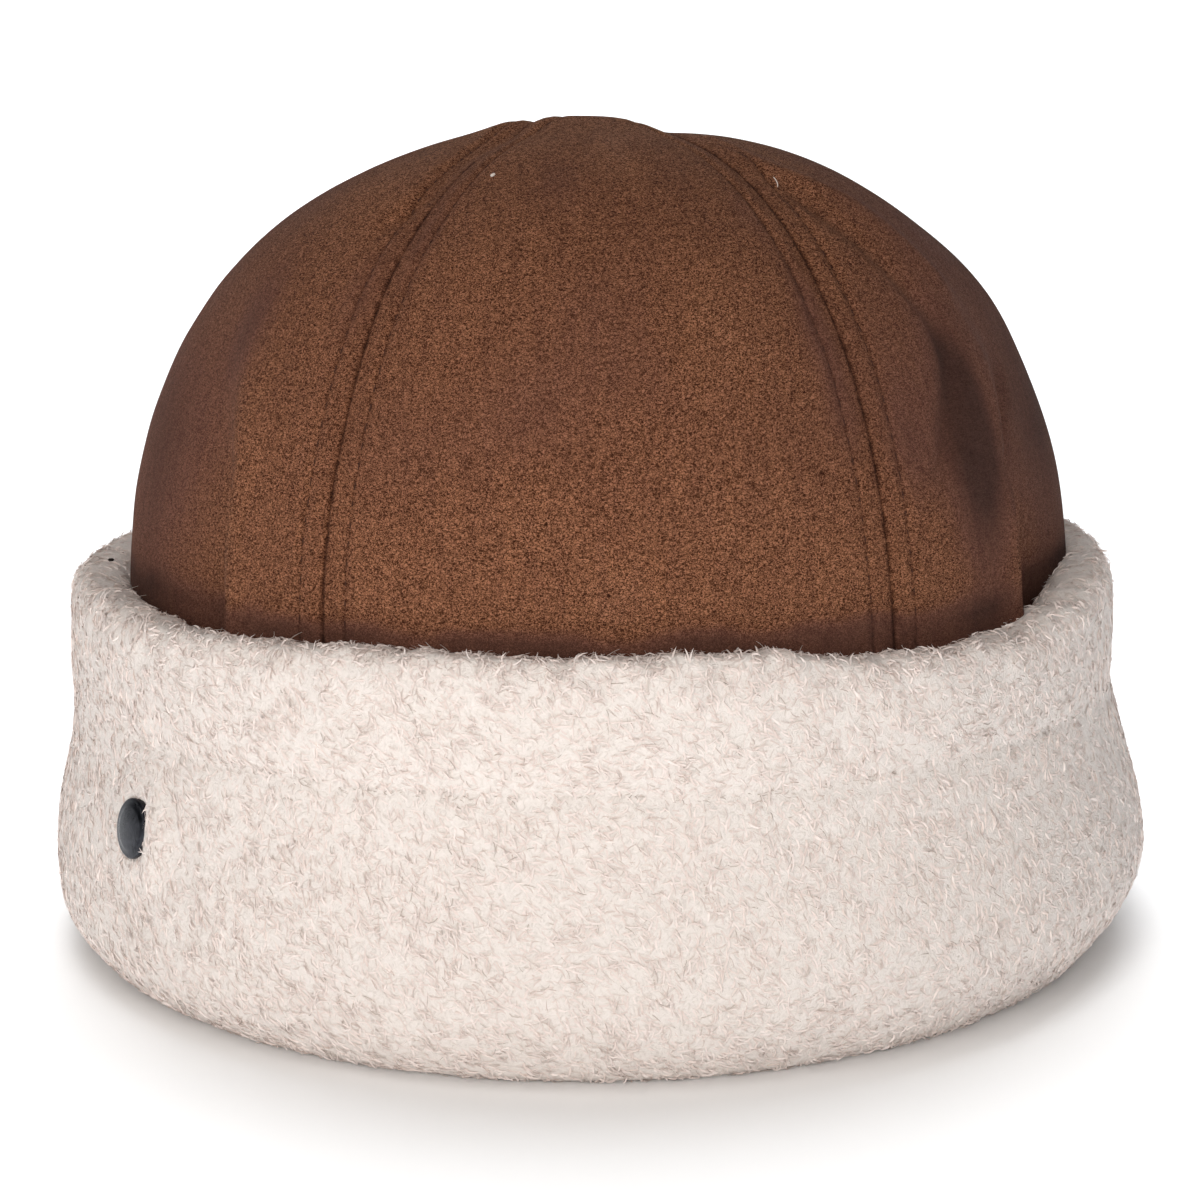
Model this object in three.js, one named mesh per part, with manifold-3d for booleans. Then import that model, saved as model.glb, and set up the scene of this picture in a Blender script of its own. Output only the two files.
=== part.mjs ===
// A soft six-panel cap with a wide turned-up pile cuff and a small metal badge.
// Millimetres, +Z up. The wearer's front faces -Y, the badge is on the -X side, and the cap
// rests on its own bottom fold at z = 0.

import * as THREE from 'three';
import { mergeVertices } from 'three/addons/utils/BufferGeometryUtils.js';
import Module from 'manifold-3d';

const wasm = await Module();
wasm.setup();

// Crown: an oval wall that closes into a dome.
const CROWN = {
  halfWidth: 92.5,
  halfDepth: 100.5,
  centreX: -0.7,
  bottom: 6.3,
  shoulder: 56,
  top: 156.8,
  planPower: 2.175,
  risePower: 2.57,
  taper: 0.018,
  backwardLean: 0.13,
  apexDip: 3,
  apexDipRadius: 14,
  tipRadius: 1,
  wall: 3,
};
const SEAM_GAP = 0.3;
const SEAM_SINK = 1.1;
const SWELL_POWER = 0.7;
const PUFF_STARTS = 60;
const PUFF_FULL = 105;
const WALL_CELLS = 3;
const DOME_CELLS = 15;

// The six gores between their seams, in degrees from the front towards +X.
// The fold of a gore is named where it has one.
const GORES = [
  { name: 'crown_panel_front', from: -31, to: 34, extraPuff: 1.3 },
  { name: 'crown_panel_front_right', from: 34, to: 92, extraPuff: 0.7, fold: 'right' },
  { name: 'crown_panel_back_right', from: 92, to: 150, extraPuff: 0.7 },
  { name: 'crown_panel_back', from: 150, to: 210, extraPuff: 0 },
  { name: 'crown_panel_back_left', from: 210, to: 268, extraPuff: 0 },
  { name: 'crown_panel_front_left', from: 268, to: 329, extraPuff: 0, fold: 'left' },
];

// The two standing folds of the crown. Each row is one height on the ridge of the fold.
const FOLDS = {
  left: {
    towardsBack: -1,
    rows: [
      { height: 44, azimuth: 315.5, depth: 0 },
      { height: 66, azimuth: 315.5, depth: 5.2 },
      { height: 87, azimuth: 314.5, depth: 4.2 },
      { height: 99, azimuth: 314, depth: 3.2 },
      { height: 111, azimuth: 311.5, depth: 1.9 },
      { height: 122, azimuth: 308, depth: 0.9 },
      { height: 132, azimuth: 303, depth: 0 },
    ],
  },
  right: {
    towardsBack: 1,
    rows: [
      { height: 44, azimuth: 57, depth: 0 },
      { height: 66, azimuth: 57, depth: 6.6 },
      { height: 88, azimuth: 56, depth: 5 },
      { height: 102, azimuth: 57, depth: 3.4 },
      { height: 113, azimuth: 58.5, depth: 2.1 },
      { height: 122, azimuth: 58.5, depth: 1.2 },
      { height: 138, azimuth: 56, depth: 0 },
    ],
  },
};
const FOLD_STEP = 4;
const FOLD_SPAN = 30;
const FOLD_LIP = 0.16;
const CELLS_BEFORE_FOLD = 4;
const CELLS_AFTER_FOLD = 6;
const PLAIN_CELLS = 11;

// Cuff: the outer leg from low to high. halfWidth and halfDepth give its outer face, leanX
// moves the row sideways, and ply is the leg's thickness: one layer of pile cloth below the
// hem stitching, two layers in the hem above it.
const CUFF_ROWS = [
  { height: 3.4, halfWidth: 103.6, halfDepth: 110.9, leanX: -1.8, ply: 5.6 },
  { height: 9, halfWidth: 106.9, halfDepth: 114, leanX: -1.3, ply: 5.6 },
  { height: 16, halfWidth: 108.2, halfDepth: 115.2, leanX: 0, ply: 5.5 },
  { height: 24, halfWidth: 107.6, halfDepth: 114.6, leanX: -0.2, ply: 5.4 },
  { height: 32, halfWidth: 106.2, halfDepth: 113.2, leanX: -0.4, ply: 5.4 },
  { height: 41, halfWidth: 104.3, halfDepth: 111.3, leanX: -0.9, ply: 5.4 },
  { height: 48, halfWidth: 103.2, halfDepth: 110.2, leanX: -1.3, ply: 5.6 },
  { height: 50.5, halfWidth: 102.4, halfDepth: 109.4, leanX: -1.4, ply: 6.4 },
  { height: 53, halfWidth: 103.2, halfDepth: 110.2, leanX: -1.5, ply: 8 },
  { height: 60, halfWidth: 103.6, halfDepth: 110.6, leanX: -1.7, ply: 8.5 },
  { height: 68, halfWidth: 103.1, halfDepth: 110.1, leanX: -1.7, ply: 8.3 },
];
const CUFF = {
  rimTop: 74,
  hemStitching: 50.5,
  rimCells: 6,
  sectors: 64,
  foldThickness: 6,
  channelUndercut: 1,
  footInner: { halfWidth: 87.5, halfDepth: 95.2 },
  footOuter: { halfWidth: 98.4, halfDepth: 105.8, leanX: -1.5 },
  innerLegTop: 26,
  innerLegThickness: 3.4,
  innerLegClearance: 0.3,
  innerLegRound: 1,
  innerLegHeel: 3,
};

// How far the soft rim of the cuff sags, by azimuth from the front towards +X.
const RIM_SAGS = [
  { azimuth: -180, sag: 0.5 },
  { azimuth: -105, sag: 1.6 },
  { azimuth: -45, sag: 1.6 },
  { azimuth: 0, sag: 0.4 },
  { azimuth: 25, sag: 2 },
  { azimuth: 45, sag: 3 },
  { azimuth: 75, sag: 2.8 },
  { azimuth: 115, sag: 0.5 },
  { azimuth: 180, sag: 0.5 },
];

// Badge: a small thick disc on a short post, pressed into the pile.
const BADGE = {
  azimuth: -52.5,
  height: 34,
  diameter: 11,
  thickness: 2,
  dome: 0.5,
  domeShoulder: { radiusShare: 0.5, riseShare: 0.75 },
  edgeRound: 0.4,
  sunk: 1.3,
  postDiameter: 3,
  postLength: 2.4,
  clearance: 0.3,
  sides: 32,
};

// Colours of the plain solids.
const SUEDE_COLOUR = 0x70503c;
const PILE_COLOUR = 0xe6dcd3;
const BADGE_COLOUR = 0x4a4b4e;

const radians = THREE.MathUtils.degToRad;
const smoothstep = THREE.MathUtils.smoothstep;
const lerp = THREE.MathUtils.lerp;

// Reads a column of a table of rows at one height, straight between the rows.
function tableAt(rows, height, column) {
  const above = rows.findIndex((row) => row.height >= height);
  if (above === 0) return rows[0][column];
  if (above < 0) return rows[rows.length - 1][column];
  const low = rows[above - 1];
  const high = rows[above];
  const share = (height - low.height) / (high.height - low.height);
  return lerp(low[column], high[column], share);
}

// Smooth crown before its panels and folds. climb runs 0 to 1 up the wall and on to 2 at the apex.
function crownForm(azimuth, climb) {
  const angle = radians(azimuth);
  let spread = 1;
  let height = lerp(CROWN.bottom, CROWN.shoulder, Math.min(climb, 1));
  let rise = 0;
  if (climb < 1) {
    spread = 1 - CROWN.taper * (1 - climb) ** 2;
  } else {
    const turn = (Math.min(climb, 2) - 1) * (Math.PI / 2);
    spread = Math.max(Math.cos(turn), 0) ** (2 / CROWN.planPower);
    rise = Math.sin(turn) ** (2 / CROWN.risePower);
    height = CROWN.shoulder + (CROWN.top - CROWN.shoulder) * rise;
  }
  const x = CROWN.centreX + CROWN.halfWidth * spread * Math.sin(angle);
  const y = -CROWN.halfDepth * spread * Math.cos(angle);
  const meanRadius = 0.5 * (CROWN.halfWidth + CROWN.halfDepth) * spread;
  const dip = CROWN.apexDip * Math.exp(-((meanRadius / CROWN.apexDipRadius) ** 2));
  return new THREE.Vector3(x, y, height - CROWN.backwardLean * y * rise * rise - dip);
}

function crownNormal(azimuth, climb) {
  const step = 0.01;
  const low = Math.min(climb, 2 - 2 * step);
  const along = crownForm(azimuth + 1, low).sub(crownForm(azimuth - 1, low));
  const upward = crownForm(azimuth, low + step).sub(crownForm(azimuth, Math.max(low - step, 0)));
  return along.cross(upward).normalize();
}

// How far a standing fold moves the cloth out or in at one place.
function foldOffset(fold, azimuth, height) {
  const ridge = tableAt(fold.rows, height, 'azimuth');
  const depth = tableAt(fold.rows, height, 'depth');
  const past = (azimuth - ridge) * fold.towardsBack;
  const lip = FOLD_LIP * depth * Math.exp(-((past / FOLD_STEP) ** 2));
  const drop = smoothstep(past, 0, FOLD_STEP) * (1 - smoothstep(past, FOLD_STEP, FOLD_SPAN));
  return lip - depth * drop;
}

// Outward relief of a gore: it swells between its seams and carries its fold.
function goreRelief(gore, azimuth, height) {
  const share = (azimuth - gore.from) / (gore.to - gore.from);
  const swell = Math.sin(Math.PI * THREE.MathUtils.clamp(share, 0, 1)) ** SWELL_POWER;
  const full = gore.extraPuff * swell - SEAM_SINK * (1 - swell);
  const puff = full * smoothstep(height, PUFF_STARTS, PUFF_FULL);
  const fold = gore.fold ? foldOffset(FOLDS[gore.fold], azimuth, height) : 0;
  return puff + fold;
}

// Azimuths of a gore's columns at one height. They gather at the ridge of its fold.
function goreColumns(gore, height, first, last) {
  const spread = (start, end, cells) =>
    Array.from({ length: cells }, (_, i) => lerp(start, end, i / cells));
  if (!gore.fold) return [...spread(first, last, PLAIN_CELLS), last];
  const fold = FOLDS[gore.fold];
  const ridge = tableAt(fold.rows, height, 'azimuth');
  const valley = ridge + fold.towardsBack * FOLD_STEP;
  if (fold.towardsBack > 0) {
    return [
      ...spread(first, ridge, CELLS_BEFORE_FOLD),
      ridge,
      ...spread(valley, last, CELLS_AFTER_FOLD),
      last,
    ];
  }
  return [
    ...spread(first, valley, CELLS_AFTER_FOLD),
    valley,
    ...spread(ridge, last, CELLS_BEFORE_FOLD),
    last,
  ];
}

// Joins a grid of outer points and a like grid of inner points into one closed shell.
function shellGeometry(outer, inner) {
  const rows = outer.length;
  const columns = outer[0].length;
  const positions = [...outer.flat(), ...inner.flat()].flatMap((p) => p.toArray());
  const out = (r, c) => r * columns + c;
  const inn = (r, c) => rows * columns + out(r, c);
  const index = [];
  const quad = (a, b, c, d) => index.push(a, b, c, a, c, d);
  for (let r = 0; r + 1 < rows; r++) {
    for (let c = 0; c + 1 < columns; c++) {
      quad(out(r, c), out(r, c + 1), out(r + 1, c + 1), out(r + 1, c));
      quad(inn(r, c), inn(r + 1, c), inn(r + 1, c + 1), inn(r, c + 1));
    }
    quad(inn(r, 0), out(r, 0), out(r + 1, 0), inn(r + 1, 0));
    quad(out(r, columns - 1), inn(r, columns - 1), inn(r + 1, columns - 1), out(r + 1, columns - 1));
  }
  for (let c = 0; c + 1 < columns; c++) {
    quad(inn(0, c), inn(0, c + 1), out(0, c + 1), out(0, c));
    quad(out(rows - 1, c), out(rows - 1, c + 1), inn(rows - 1, c + 1), inn(rows - 1, c));
  }
  const geometry = new THREE.BufferGeometry();
  geometry.setAttribute('position', new THREE.Float32BufferAttribute(positions, 3));
  geometry.setIndex(index);
  geometry.computeVertexNormals();
  return geometry;
}

// One gore of the crown, from the bottom fold to a narrow tip at the apex.
function goreGeometry(gore) {
  const tipSpread = (2 * CROWN.tipRadius) / (CROWN.halfWidth + CROWN.halfDepth);
  const tipClimb = 1 + Math.acos(tipSpread ** (CROWN.planPower / 2)) / (Math.PI / 2);
  const outer = [];
  const inner = [];
  for (let row = 0; row <= WALL_CELLS + DOME_CELLS; row++) {
    const onWall = row <= WALL_CELLS;
    const domeShare = (row - WALL_CELLS) / DOME_CELLS;
    const climb = onWall ? row / WALL_CELLS : lerp(1, tipClimb, domeShare);
    const middle = crownForm(0.5 * (gore.from + gore.to), climb);
    const radius = Math.hypot(middle.x - CROWN.centreX, middle.y);
    const margin = THREE.MathUtils.radToDeg((0.5 * SEAM_GAP) / radius);
    const height = crownForm(90, climb).z;
    const columns = goreColumns(gore, height, gore.from + margin, gore.to - margin);
    const place = (azimuth, inset) =>
      crownForm(azimuth, climb).addScaledVector(
        crownNormal(azimuth, climb),
        goreRelief(gore, azimuth, height) - inset,
      );
    outer.push(columns.map((azimuth) => place(azimuth, 0)));
    inner.push(columns.map((azimuth) => place(azimuth, CROWN.wall)));
  }
  return shellGeometry(outer, inner);
}

// Height of a point of the cuff after its rim has sagged. The hem stitching stays level.
function sagged(azimuth, height) {
  const next = RIM_SAGS.findIndex((row) => row.azimuth >= azimuth);
  const high = RIM_SAGS[next];
  const low = RIM_SAGS[Math.max(next - 1, 0)];
  const sag = lerp(low.sag, high.sag, smoothstep(azimuth, low.azimuth, high.azimuth));
  const hemShare = (height - CUFF.hemStitching) / (CUFF.rimTop - CUFF.hemStitching);
  return height - sag * THREE.MathUtils.clamp(hemShare, 0, 1);
}

// Closed outline of the cuff's cross-section, as rows of half width, half depth, lean and height.
function cuffSection() {
  const row = (halfWidth, halfDepth, leanX, height) => ({ halfWidth, halfDepth, leanX, height });
  const top = CUFF_ROWS[CUFF_ROWS.length - 1];
  const outerFace = CUFF_ROWS.map((r) => row(r.halfWidth, r.halfDepth, r.leanX, r.height));
  const rim = [];
  for (let i = 1; i < CUFF.rimCells; i++) {
    const turn = (Math.PI * i) / CUFF.rimCells;
    const inset = 0.5 * top.ply * (1 - Math.cos(turn));
    const lift = (CUFF.rimTop - top.height) * Math.sin(turn);
    rim.push(row(top.halfWidth - inset, top.halfDepth - inset, top.leanX, top.height + lift));
  }
  const innerRows = CUFF_ROWS.filter((r) => r.height > CUFF.foldThickness).reverse();
  const innerFace = innerRows.map((r) =>
    row(r.halfWidth - r.ply, r.halfDepth - r.ply, r.leanX, r.height),
  );
  const legFace = (inset, height) => {
    const wallRise = (height - CROWN.bottom) / (CROWN.shoulder - CROWN.bottom);
    const climb = THREE.MathUtils.clamp(wallRise, 0, 1);
    const side = crownForm(90, climb).x - CROWN.centreX - inset;
    const front = -crownForm(0, climb).y - inset;
    return row(side, front, CROWN.centreX, height);
  };
  const outside = CROWN.wall + CUFF.innerLegClearance;
  const inside = outside + CUFF.innerLegThickness;
  const channelWall = CUFF_ROWS[0];
  const channel = channelWall.ply - CUFF.channelUndercut;
  return [
    row(CUFF.footOuter.halfWidth, CUFF.footOuter.halfDepth, CUFF.footOuter.leanX, 0),
    ...outerFace,
    ...rim,
    ...innerFace,
    row(
      channelWall.halfWidth - channel,
      channelWall.halfDepth - channel,
      channelWall.leanX,
      CUFF.foldThickness,
    ),
    legFace(outside, CUFF.foldThickness),
    legFace(outside, 0.5 * (CUFF.foldThickness + CUFF.innerLegTop)),
    legFace(outside, CUFF.innerLegTop - CUFF.innerLegRound),
    legFace(outside + CUFF.innerLegRound, CUFF.innerLegTop),
    legFace(inside - CUFF.innerLegRound, CUFF.innerLegTop),
    legFace(inside, CUFF.innerLegTop - CUFF.innerLegRound),
    legFace(inside, CUFF.innerLegHeel),
    row(CUFF.footInner.halfWidth, CUFF.footInner.halfDepth, CROWN.centreX, 0),
  ];
}

function cuffRing() {
  const section = cuffSection();
  const positions = [];
  for (let sector = 0; sector < CUFF.sectors; sector++) {
    const azimuth = (360 * sector) / CUFF.sectors - 180;
    const angle = radians(azimuth);
    for (const { halfWidth, halfDepth, leanX, height } of section) {
      const x = leanX + halfWidth * Math.sin(angle);
      positions.push(x, -halfDepth * Math.cos(angle), sagged(azimuth, height));
    }
  }
  const index = [];
  for (let sector = 0; sector < CUFF.sectors; sector++) {
    const here = sector * section.length;
    const next = ((sector + 1) % CUFF.sectors) * section.length;
    for (let i = 0; i < section.length; i++) {
      const j = (i + 1) % section.length;
      index.push(here + i, next + i, next + j, here + i, next + j, here + j);
    }
  }
  const geometry = new THREE.BufferGeometry();
  geometry.setAttribute('position', new THREE.Float32BufferAttribute(positions, 3));
  geometry.setIndex(index);
  return geometry;
}

// Frame of the badge: its origin on the cuff's outer face and +Z along the outward normal.
function badgeFrame() {
  const angle = radians(BADGE.azimuth);
  const rise = 4;
  const turn = 0.05;
  const facePoint = (azimuth, height) => {
    const halfWidth = tableAt(CUFF_ROWS, height, 'halfWidth');
    const halfDepth = tableAt(CUFF_ROWS, height, 'halfDepth');
    const leanX = tableAt(CUFF_ROWS, height, 'leanX');
    return new THREE.Vector3(
      leanX + halfWidth * Math.sin(azimuth),
      -halfDepth * Math.cos(azimuth),
      height,
    );
  };
  const origin = facePoint(angle, BADGE.height);
  const along = facePoint(angle + turn, BADGE.height).sub(facePoint(angle - turn, BADGE.height));
  const upward = facePoint(angle, BADGE.height + rise).sub(facePoint(angle, BADGE.height - rise));
  const normal = along.clone().cross(upward).normalize();
  const side = along.normalize();
  const up = normal.clone().cross(side);
  return new THREE.Matrix4().makeBasis(side, up, normal).setPosition(origin);
}

// Turns a profile of radius and height, which starts and ends on the axis, about local +Z.
function turned(profile, sides) {
  const points = profile.map(([radius, height]) => new THREE.Vector2(radius, height));
  return new THREE.LatheGeometry(points, sides).rotateX(Math.PI / 2);
}

function badgeGeometry() {
  const radius = BADGE.diameter / 2;
  const back = -BADGE.sunk;
  const face = back + BADGE.thickness;
  return turned(
    [
      [0, back - BADGE.postLength],
      [BADGE.postDiameter / 2, back - BADGE.postLength],
      [BADGE.postDiameter / 2, back],
      [radius, back],
      [radius, face - BADGE.edgeRound],
      [radius - BADGE.edgeRound, face],
      [radius * BADGE.domeShoulder.radiusShare, face + BADGE.dome * BADGE.domeShoulder.riseShare],
      [0, face + BADGE.dome],
    ],
    BADGE.sides,
  ).applyMatrix4(badgeFrame());
}

// The pocket that the badge is pressed into, cut a little larger than the badge all round.
function badgePocket() {
  const radius = BADGE.diameter / 2 + BADGE.clearance;
  const postRadius = BADGE.postDiameter / 2 + BADGE.clearance;
  const floor = -BADGE.sunk - BADGE.clearance;
  const above = BADGE.diameter;
  return turned(
    [
      [0, floor - BADGE.postLength],
      [postRadius, floor - BADGE.postLength],
      [postRadius, floor],
      [radius, floor],
      [radius, above],
      [0, above],
    ],
    BADGE.sides,
  ).applyMatrix4(badgeFrame());
}

// Shared vertices merged, as a solid for cutting.
function solid(geometry) {
  const bare = geometry.clone();
  bare.deleteAttribute('normal');
  bare.deleteAttribute('uv');
  const merged = mergeVertices(bare, 1e-4);
  return new wasm.Manifold(
    new wasm.Mesh({
      numProp: 3,
      vertProperties: new Float32Array(merged.attributes.position.array),
      triVerts: new Uint32Array(merged.index.array),
    }),
  );
}

function geometryOf(manifold) {
  const mesh = manifold.getMesh();
  const geometry = new THREE.BufferGeometry();
  geometry.setAttribute('position', new THREE.BufferAttribute(mesh.vertProperties, 3));
  geometry.setIndex(new THREE.BufferAttribute(mesh.triVerts, 1));
  geometry.computeVertexNormals();
  return geometry;
}

function cuffGeometry() {
  return geometryOf(solid(cuffRing()).subtract(solid(badgePocket())));
}

function named(name, geometry, material) {
  const mesh = new THREE.Mesh(geometry, material);
  mesh.name = name;
  return mesh;
}

function suede() {
  return new THREE.MeshStandardMaterial({ color: SUEDE_COLOUR, roughness: 0.95, metalness: 0 });
}

function pile() {
  return new THREE.MeshStandardMaterial({ color: PILE_COLOUR, roughness: 0.98, metalness: 0 });
}

function darkMetal() {
  return new THREE.MeshStandardMaterial({ color: BADGE_COLOUR, roughness: 0.35, metalness: 0.9 });
}

const cap = new THREE.Group();
const crown = new THREE.Group();
for (const gore of GORES) {
  crown.add(named(gore.name, goreGeometry(gore), suede()));
}
cap.add(crown);
cap.add(named('cuff', cuffGeometry(), pile()));
cap.add(named('badge', badgeGeometry(), darkMetal()));

export default cap;
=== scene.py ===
"""Looks of a soft six-panel suede cap with a wide turned-up pile cuff and a small metal badge.

Shapes are worked out in millimetres and go to Blender in metres.
"""

import itertools
import math

import bpy
import numpy as np
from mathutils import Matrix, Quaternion, Vector


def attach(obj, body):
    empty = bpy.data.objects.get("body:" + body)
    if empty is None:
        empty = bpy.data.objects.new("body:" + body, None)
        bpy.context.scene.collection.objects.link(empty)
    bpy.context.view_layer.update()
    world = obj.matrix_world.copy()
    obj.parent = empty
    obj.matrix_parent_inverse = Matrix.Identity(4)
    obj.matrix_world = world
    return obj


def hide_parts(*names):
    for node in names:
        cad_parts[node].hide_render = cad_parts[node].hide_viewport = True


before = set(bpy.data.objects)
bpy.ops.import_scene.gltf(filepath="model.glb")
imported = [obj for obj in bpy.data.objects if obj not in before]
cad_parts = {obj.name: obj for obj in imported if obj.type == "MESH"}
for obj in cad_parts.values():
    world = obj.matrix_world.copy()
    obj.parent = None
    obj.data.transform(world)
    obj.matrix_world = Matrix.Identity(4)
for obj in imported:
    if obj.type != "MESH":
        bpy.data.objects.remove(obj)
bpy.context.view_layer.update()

MM = 0.001

CAMERA = {
    "target": (0, 0, 0.0686), "distance": 0.6122, "elevation": 10.966, "roll": -0.433,
    "lens": 91.89, "shift_x": -0.0004, "shift_y": -0.0252, "sensor": 36, "clip": (0.01, 50),
}
# Lights that the cap takes: name, place and power.
SOFT_LIGHTS = [
    ("key_light", (-0.5, -1.5, 0.6), 11.4),
    ("second_light", (0.3, -1.55, 0.55), 4.4),
    ("high_light", (-0.2, -0.7, 1.6), 3.8),
]

# Crown: an oval wall that closes into a dome. Sizes are those of the solid panels.
CROWN = {
    "half_width": 92.5, "half_depth": 100.5, "centre_x": -0.7, "bottom": 6.3, "shoulder": 56,
    "top": 156.8, "plan_power": 2.175, "rise_power": 2.57, "taper": 0.018, "backward_lean": 0.13,
    "apex_dip": 3, "apex_dip_radius": 14, "tip_radius": 0.8, "wall": 3,
}
GORES = [
    {"name": "front", "from": -31, "to": 34, "extra_puff": 1.3},
    {"name": "front_right", "from": 34, "to": 92, "extra_puff": 0.7, "fold": "right"},
    {"name": "back_right", "from": 92, "to": 150, "extra_puff": 0.7},
    {"name": "back", "from": 150, "to": 210, "extra_puff": 0},
    {"name": "back_left", "from": 210, "to": 268, "extra_puff": 0},
    {"name": "front_left", "from": 268, "to": 329, "extra_puff": 0, "fold": "left"},
]
SWELL = {"seam_sink": 0.9, "starts": 80, "full": 130, "at_tip": 0.3, "tip_reach": (14, 50)}

# Standing folds: height, azimuth of the ridge and depth behind it.
FOLDS = {
    "left": {
        "towards_back": -1,
        "rows": [
            (44, 315.5, 0), (66, 315.5, 5.2), (87, 314.5, 4.2), (99, 314, 3.2),
            (111, 311.5, 1.9), (122, 308, 0.9), (132, 303, 0),
        ],
    },
    "right": {
        "towards_back": 1,
        "rows": [
            (44, 57, 0), (66, 57, 6.6), (88, 56, 5), (102, 57, 3.4),
            (113, 58.5, 2.1), (122, 58.5, 1.2), (138, 56, 0),
        ],
    },
}
FOLD = {"low_step": 3, "high_step": 8, "softens": (90, 120), "span": 30, "lip": 0.2}

# Soft creases of the crown: heights and azimuths of a line, its relief and its half width.
CREASES = [
    {"line": [(97, 58.4), (110, 66.8)], "relief": -1.5, "width": 3.5},
    {
        "line": [(98, 44.5), (115, 51.6), (122, 52.4), (133, 48.4), (143, 42.4)],
        "relief": -1.5,
        "width": 3,
    },
    {"line": [(127, 60), (141, 53.6), (147, 43.2), (149, 40.4)], "relief": 1.1, "width": 3.5},
    {"line": [(138, -37.6), (143, -34), (149, -35.2), (154, -34.8)], "relief": -1.1, "width": 2.5},
]
# How far inside and outside its ends a crease fades.
CREASE_ENDS = {"inside": 2, "outside": 6}

# Places where the soft crown stands a little higher or lower.
SWELLS = [
    {"at": (-13, -18, 157), "lift": 2.3, "reach": 9},
    {"at": (-4, -21, 158), "lift": 1.1, "reach": 9},
    {"at": (5, -21, 158), "lift": 1.2, "reach": 8},
    {"at": (16, -16, 157), "lift": -0.8, "reach": 6},
    {"at": (75, -7, 124), "lift": 1.3, "reach": 15},
    {"at": (-74, -7, 126), "lift": 0.2, "reach": 14},
]

# Sewn seams of the crown, with a row of topstitching beside each.
SEAM = {"depth": 0.2, "width": 0.5, "valley_depth": 0.22, "valley_width": 2.4, "gap": 0.02}
TOPSTITCH = {
    "offset": 5.1, "low_groove": 0.25, "high_groove": 0.6, "groove_width": 0.8,
    "least_half_panel": 9, "stitch": 2.3, "gap": 0.9, "thread": 0.15, "from_height": 62,
    "groove_fades_over": 4, "high_over": (95, 135), "ends_before": 2, "uneven_start": 0.1,
    "uneven_turn": 0.05, "sinks": (-0.35, -0.05, 0, -0.05, -0.35), "swells": (0.7, 1, 1.05, 1, 0.7),
}
WRINKLES = [(48, 0.7), (22, 0.42), (9, 0.12)]
GORE_GRID = {"hidden_height": 60, "hidden_rows": 6, "seen_rows": 104, "columns": 84, "gather": 0.8}

# How the nap is brushed in soft patches, plus painted shade and light: how much darker the sides, the
# foot and the cloth behind the folds are painted, and how much lighter the low wall and the fold
# ridges.
NAP_AND_PAINTED_LIGHT = {
    "patches": [(34, 0.07), (12, 0.05)], "side": 0.2, "pressed_foot_and_shade": 0.55, "foot_fades": 0.55,
    "foot_band": (74, 79), "low": 0.16, "low_band": (82, 106), "painted_shade_behind_fold": 0.06,
    "painted_highlight_on_ridge": 0.07, "side_over": (42, 82), "foot_fades_over": (36, 60), "ragged_cell": 5,
    "fold_depths": (0.5, 4), "behind_over": (-0.5, 4), "ridge_at": -1.2, "ridge_width": 1.5,
}
# Marks of brushed nap mixed with painted light and shade, such as dark fold bands, ridge highlights and
# a lighter top: azimuth, height, reach across and up, and how much lighter the nap is there.
NAP_AND_PAINTED_LIGHT_MARKS = [
    (-7, 146, 5, 7, -0.2), (6, 147, 4, 7, 0.15), (17, 147, 5, 5, -0.14), (-14, 133, 12, 8, 0.12),
    (15, 122, 8, 10, 0.3), (26, 130, 5, 7, 0.15), (27, 138, 4, 8, -0.2), (30, 126, 4, 9, -0.25),
    (31, 110, 4, 10, -0.2), (39, 100, 5, 16, -0.2), (52, 110, 4, 11, -0.4), (40, 84, 9, 14, 0.1),
    (-28, 138, 4, 11, -0.2), (-35, 128, 5, 9, -0.15), (-54, 121, 6, 10, -0.25), (2, 79, 7, 8, 0.2),
    (-8, 112, 8, 7, -0.1), (-32, 150, 5, 5, -0.2), (72, 100, 34, 45, -0.1), (35, 140, 14, 10, 0.14),
    (-45, 145, 14, 10, 0.2), (0, 153, 30, 8, 0.26), (-40, 96, 14, 16, 0.12), (50, 92, 11, 22, -0.5),
    (0, 122, 22, 14, -0.08), (82, 93, 16, 26, -0.18), (-66, 86, 16, 22, -0.22),
    (-40, 84, 10, 16, -0.1),
]

# Cuff: rows of its outer leg from low to high, with height, half width, half depth, lean and ply.
CUFF_ROWS = [
    (3.4, 103.6, 110.9, -1.8, 5.6), (9, 106.9, 114, -1.3, 5.6), (16, 108.2, 115.2, 0, 5.5),
    (24, 107.6, 114.6, -0.2, 5.4), (32, 106.2, 113.2, -0.4, 5.4), (41, 104.3, 111.3, -0.9, 5.4),
    (48, 103.2, 110.2, -1.3, 5.6), (50.5, 102.9, 109.9, -1.4, 6.4), (53, 103.2, 110.2, -1.5, 8),
    (60, 103.6, 110.6, -1.7, 8.5), (68, 103.1, 110.1, -1.7, 8.3),
]
TOP_HEIGHT, TOP_WIDTH, TOP_DEPTH, TOP_LEAN, TOP_PLY = CUFF_ROWS[-1]
CUFF = {
    "rim_top": 74, "hem_stitching": 50.5, "rim_cells": 12, "sag_power": 2, "fold_thickness": 6,
    "channel_undercut": 1, "foot_inner": (87.5, 95.2), "foot_outer": (98.4, 105.8, -1.5),
    "inner_leg_top": 26, "inner_leg_thickness": 3.4, "inner_leg_clearance": 0.3,
    "inner_leg_round": 1, "inner_leg_heel": 3,
}
RIM_SAGS = [
    (-180, -1.2), (-122, 0.3), (-100, 0.5), (-75, -0.4), (-62, -0.3), (-53, 0.3), (-40, -0.2),
    (-27, -1.9), (-11, -1.6), (2, -1.7), (14, -1.8), (29, 1.4), (42, 2.8), (52, 2.6), (60, 0.8),
    (75, -1.4), (100, -1.8), (118, -1.5), (180, -1.2),
]
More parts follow.
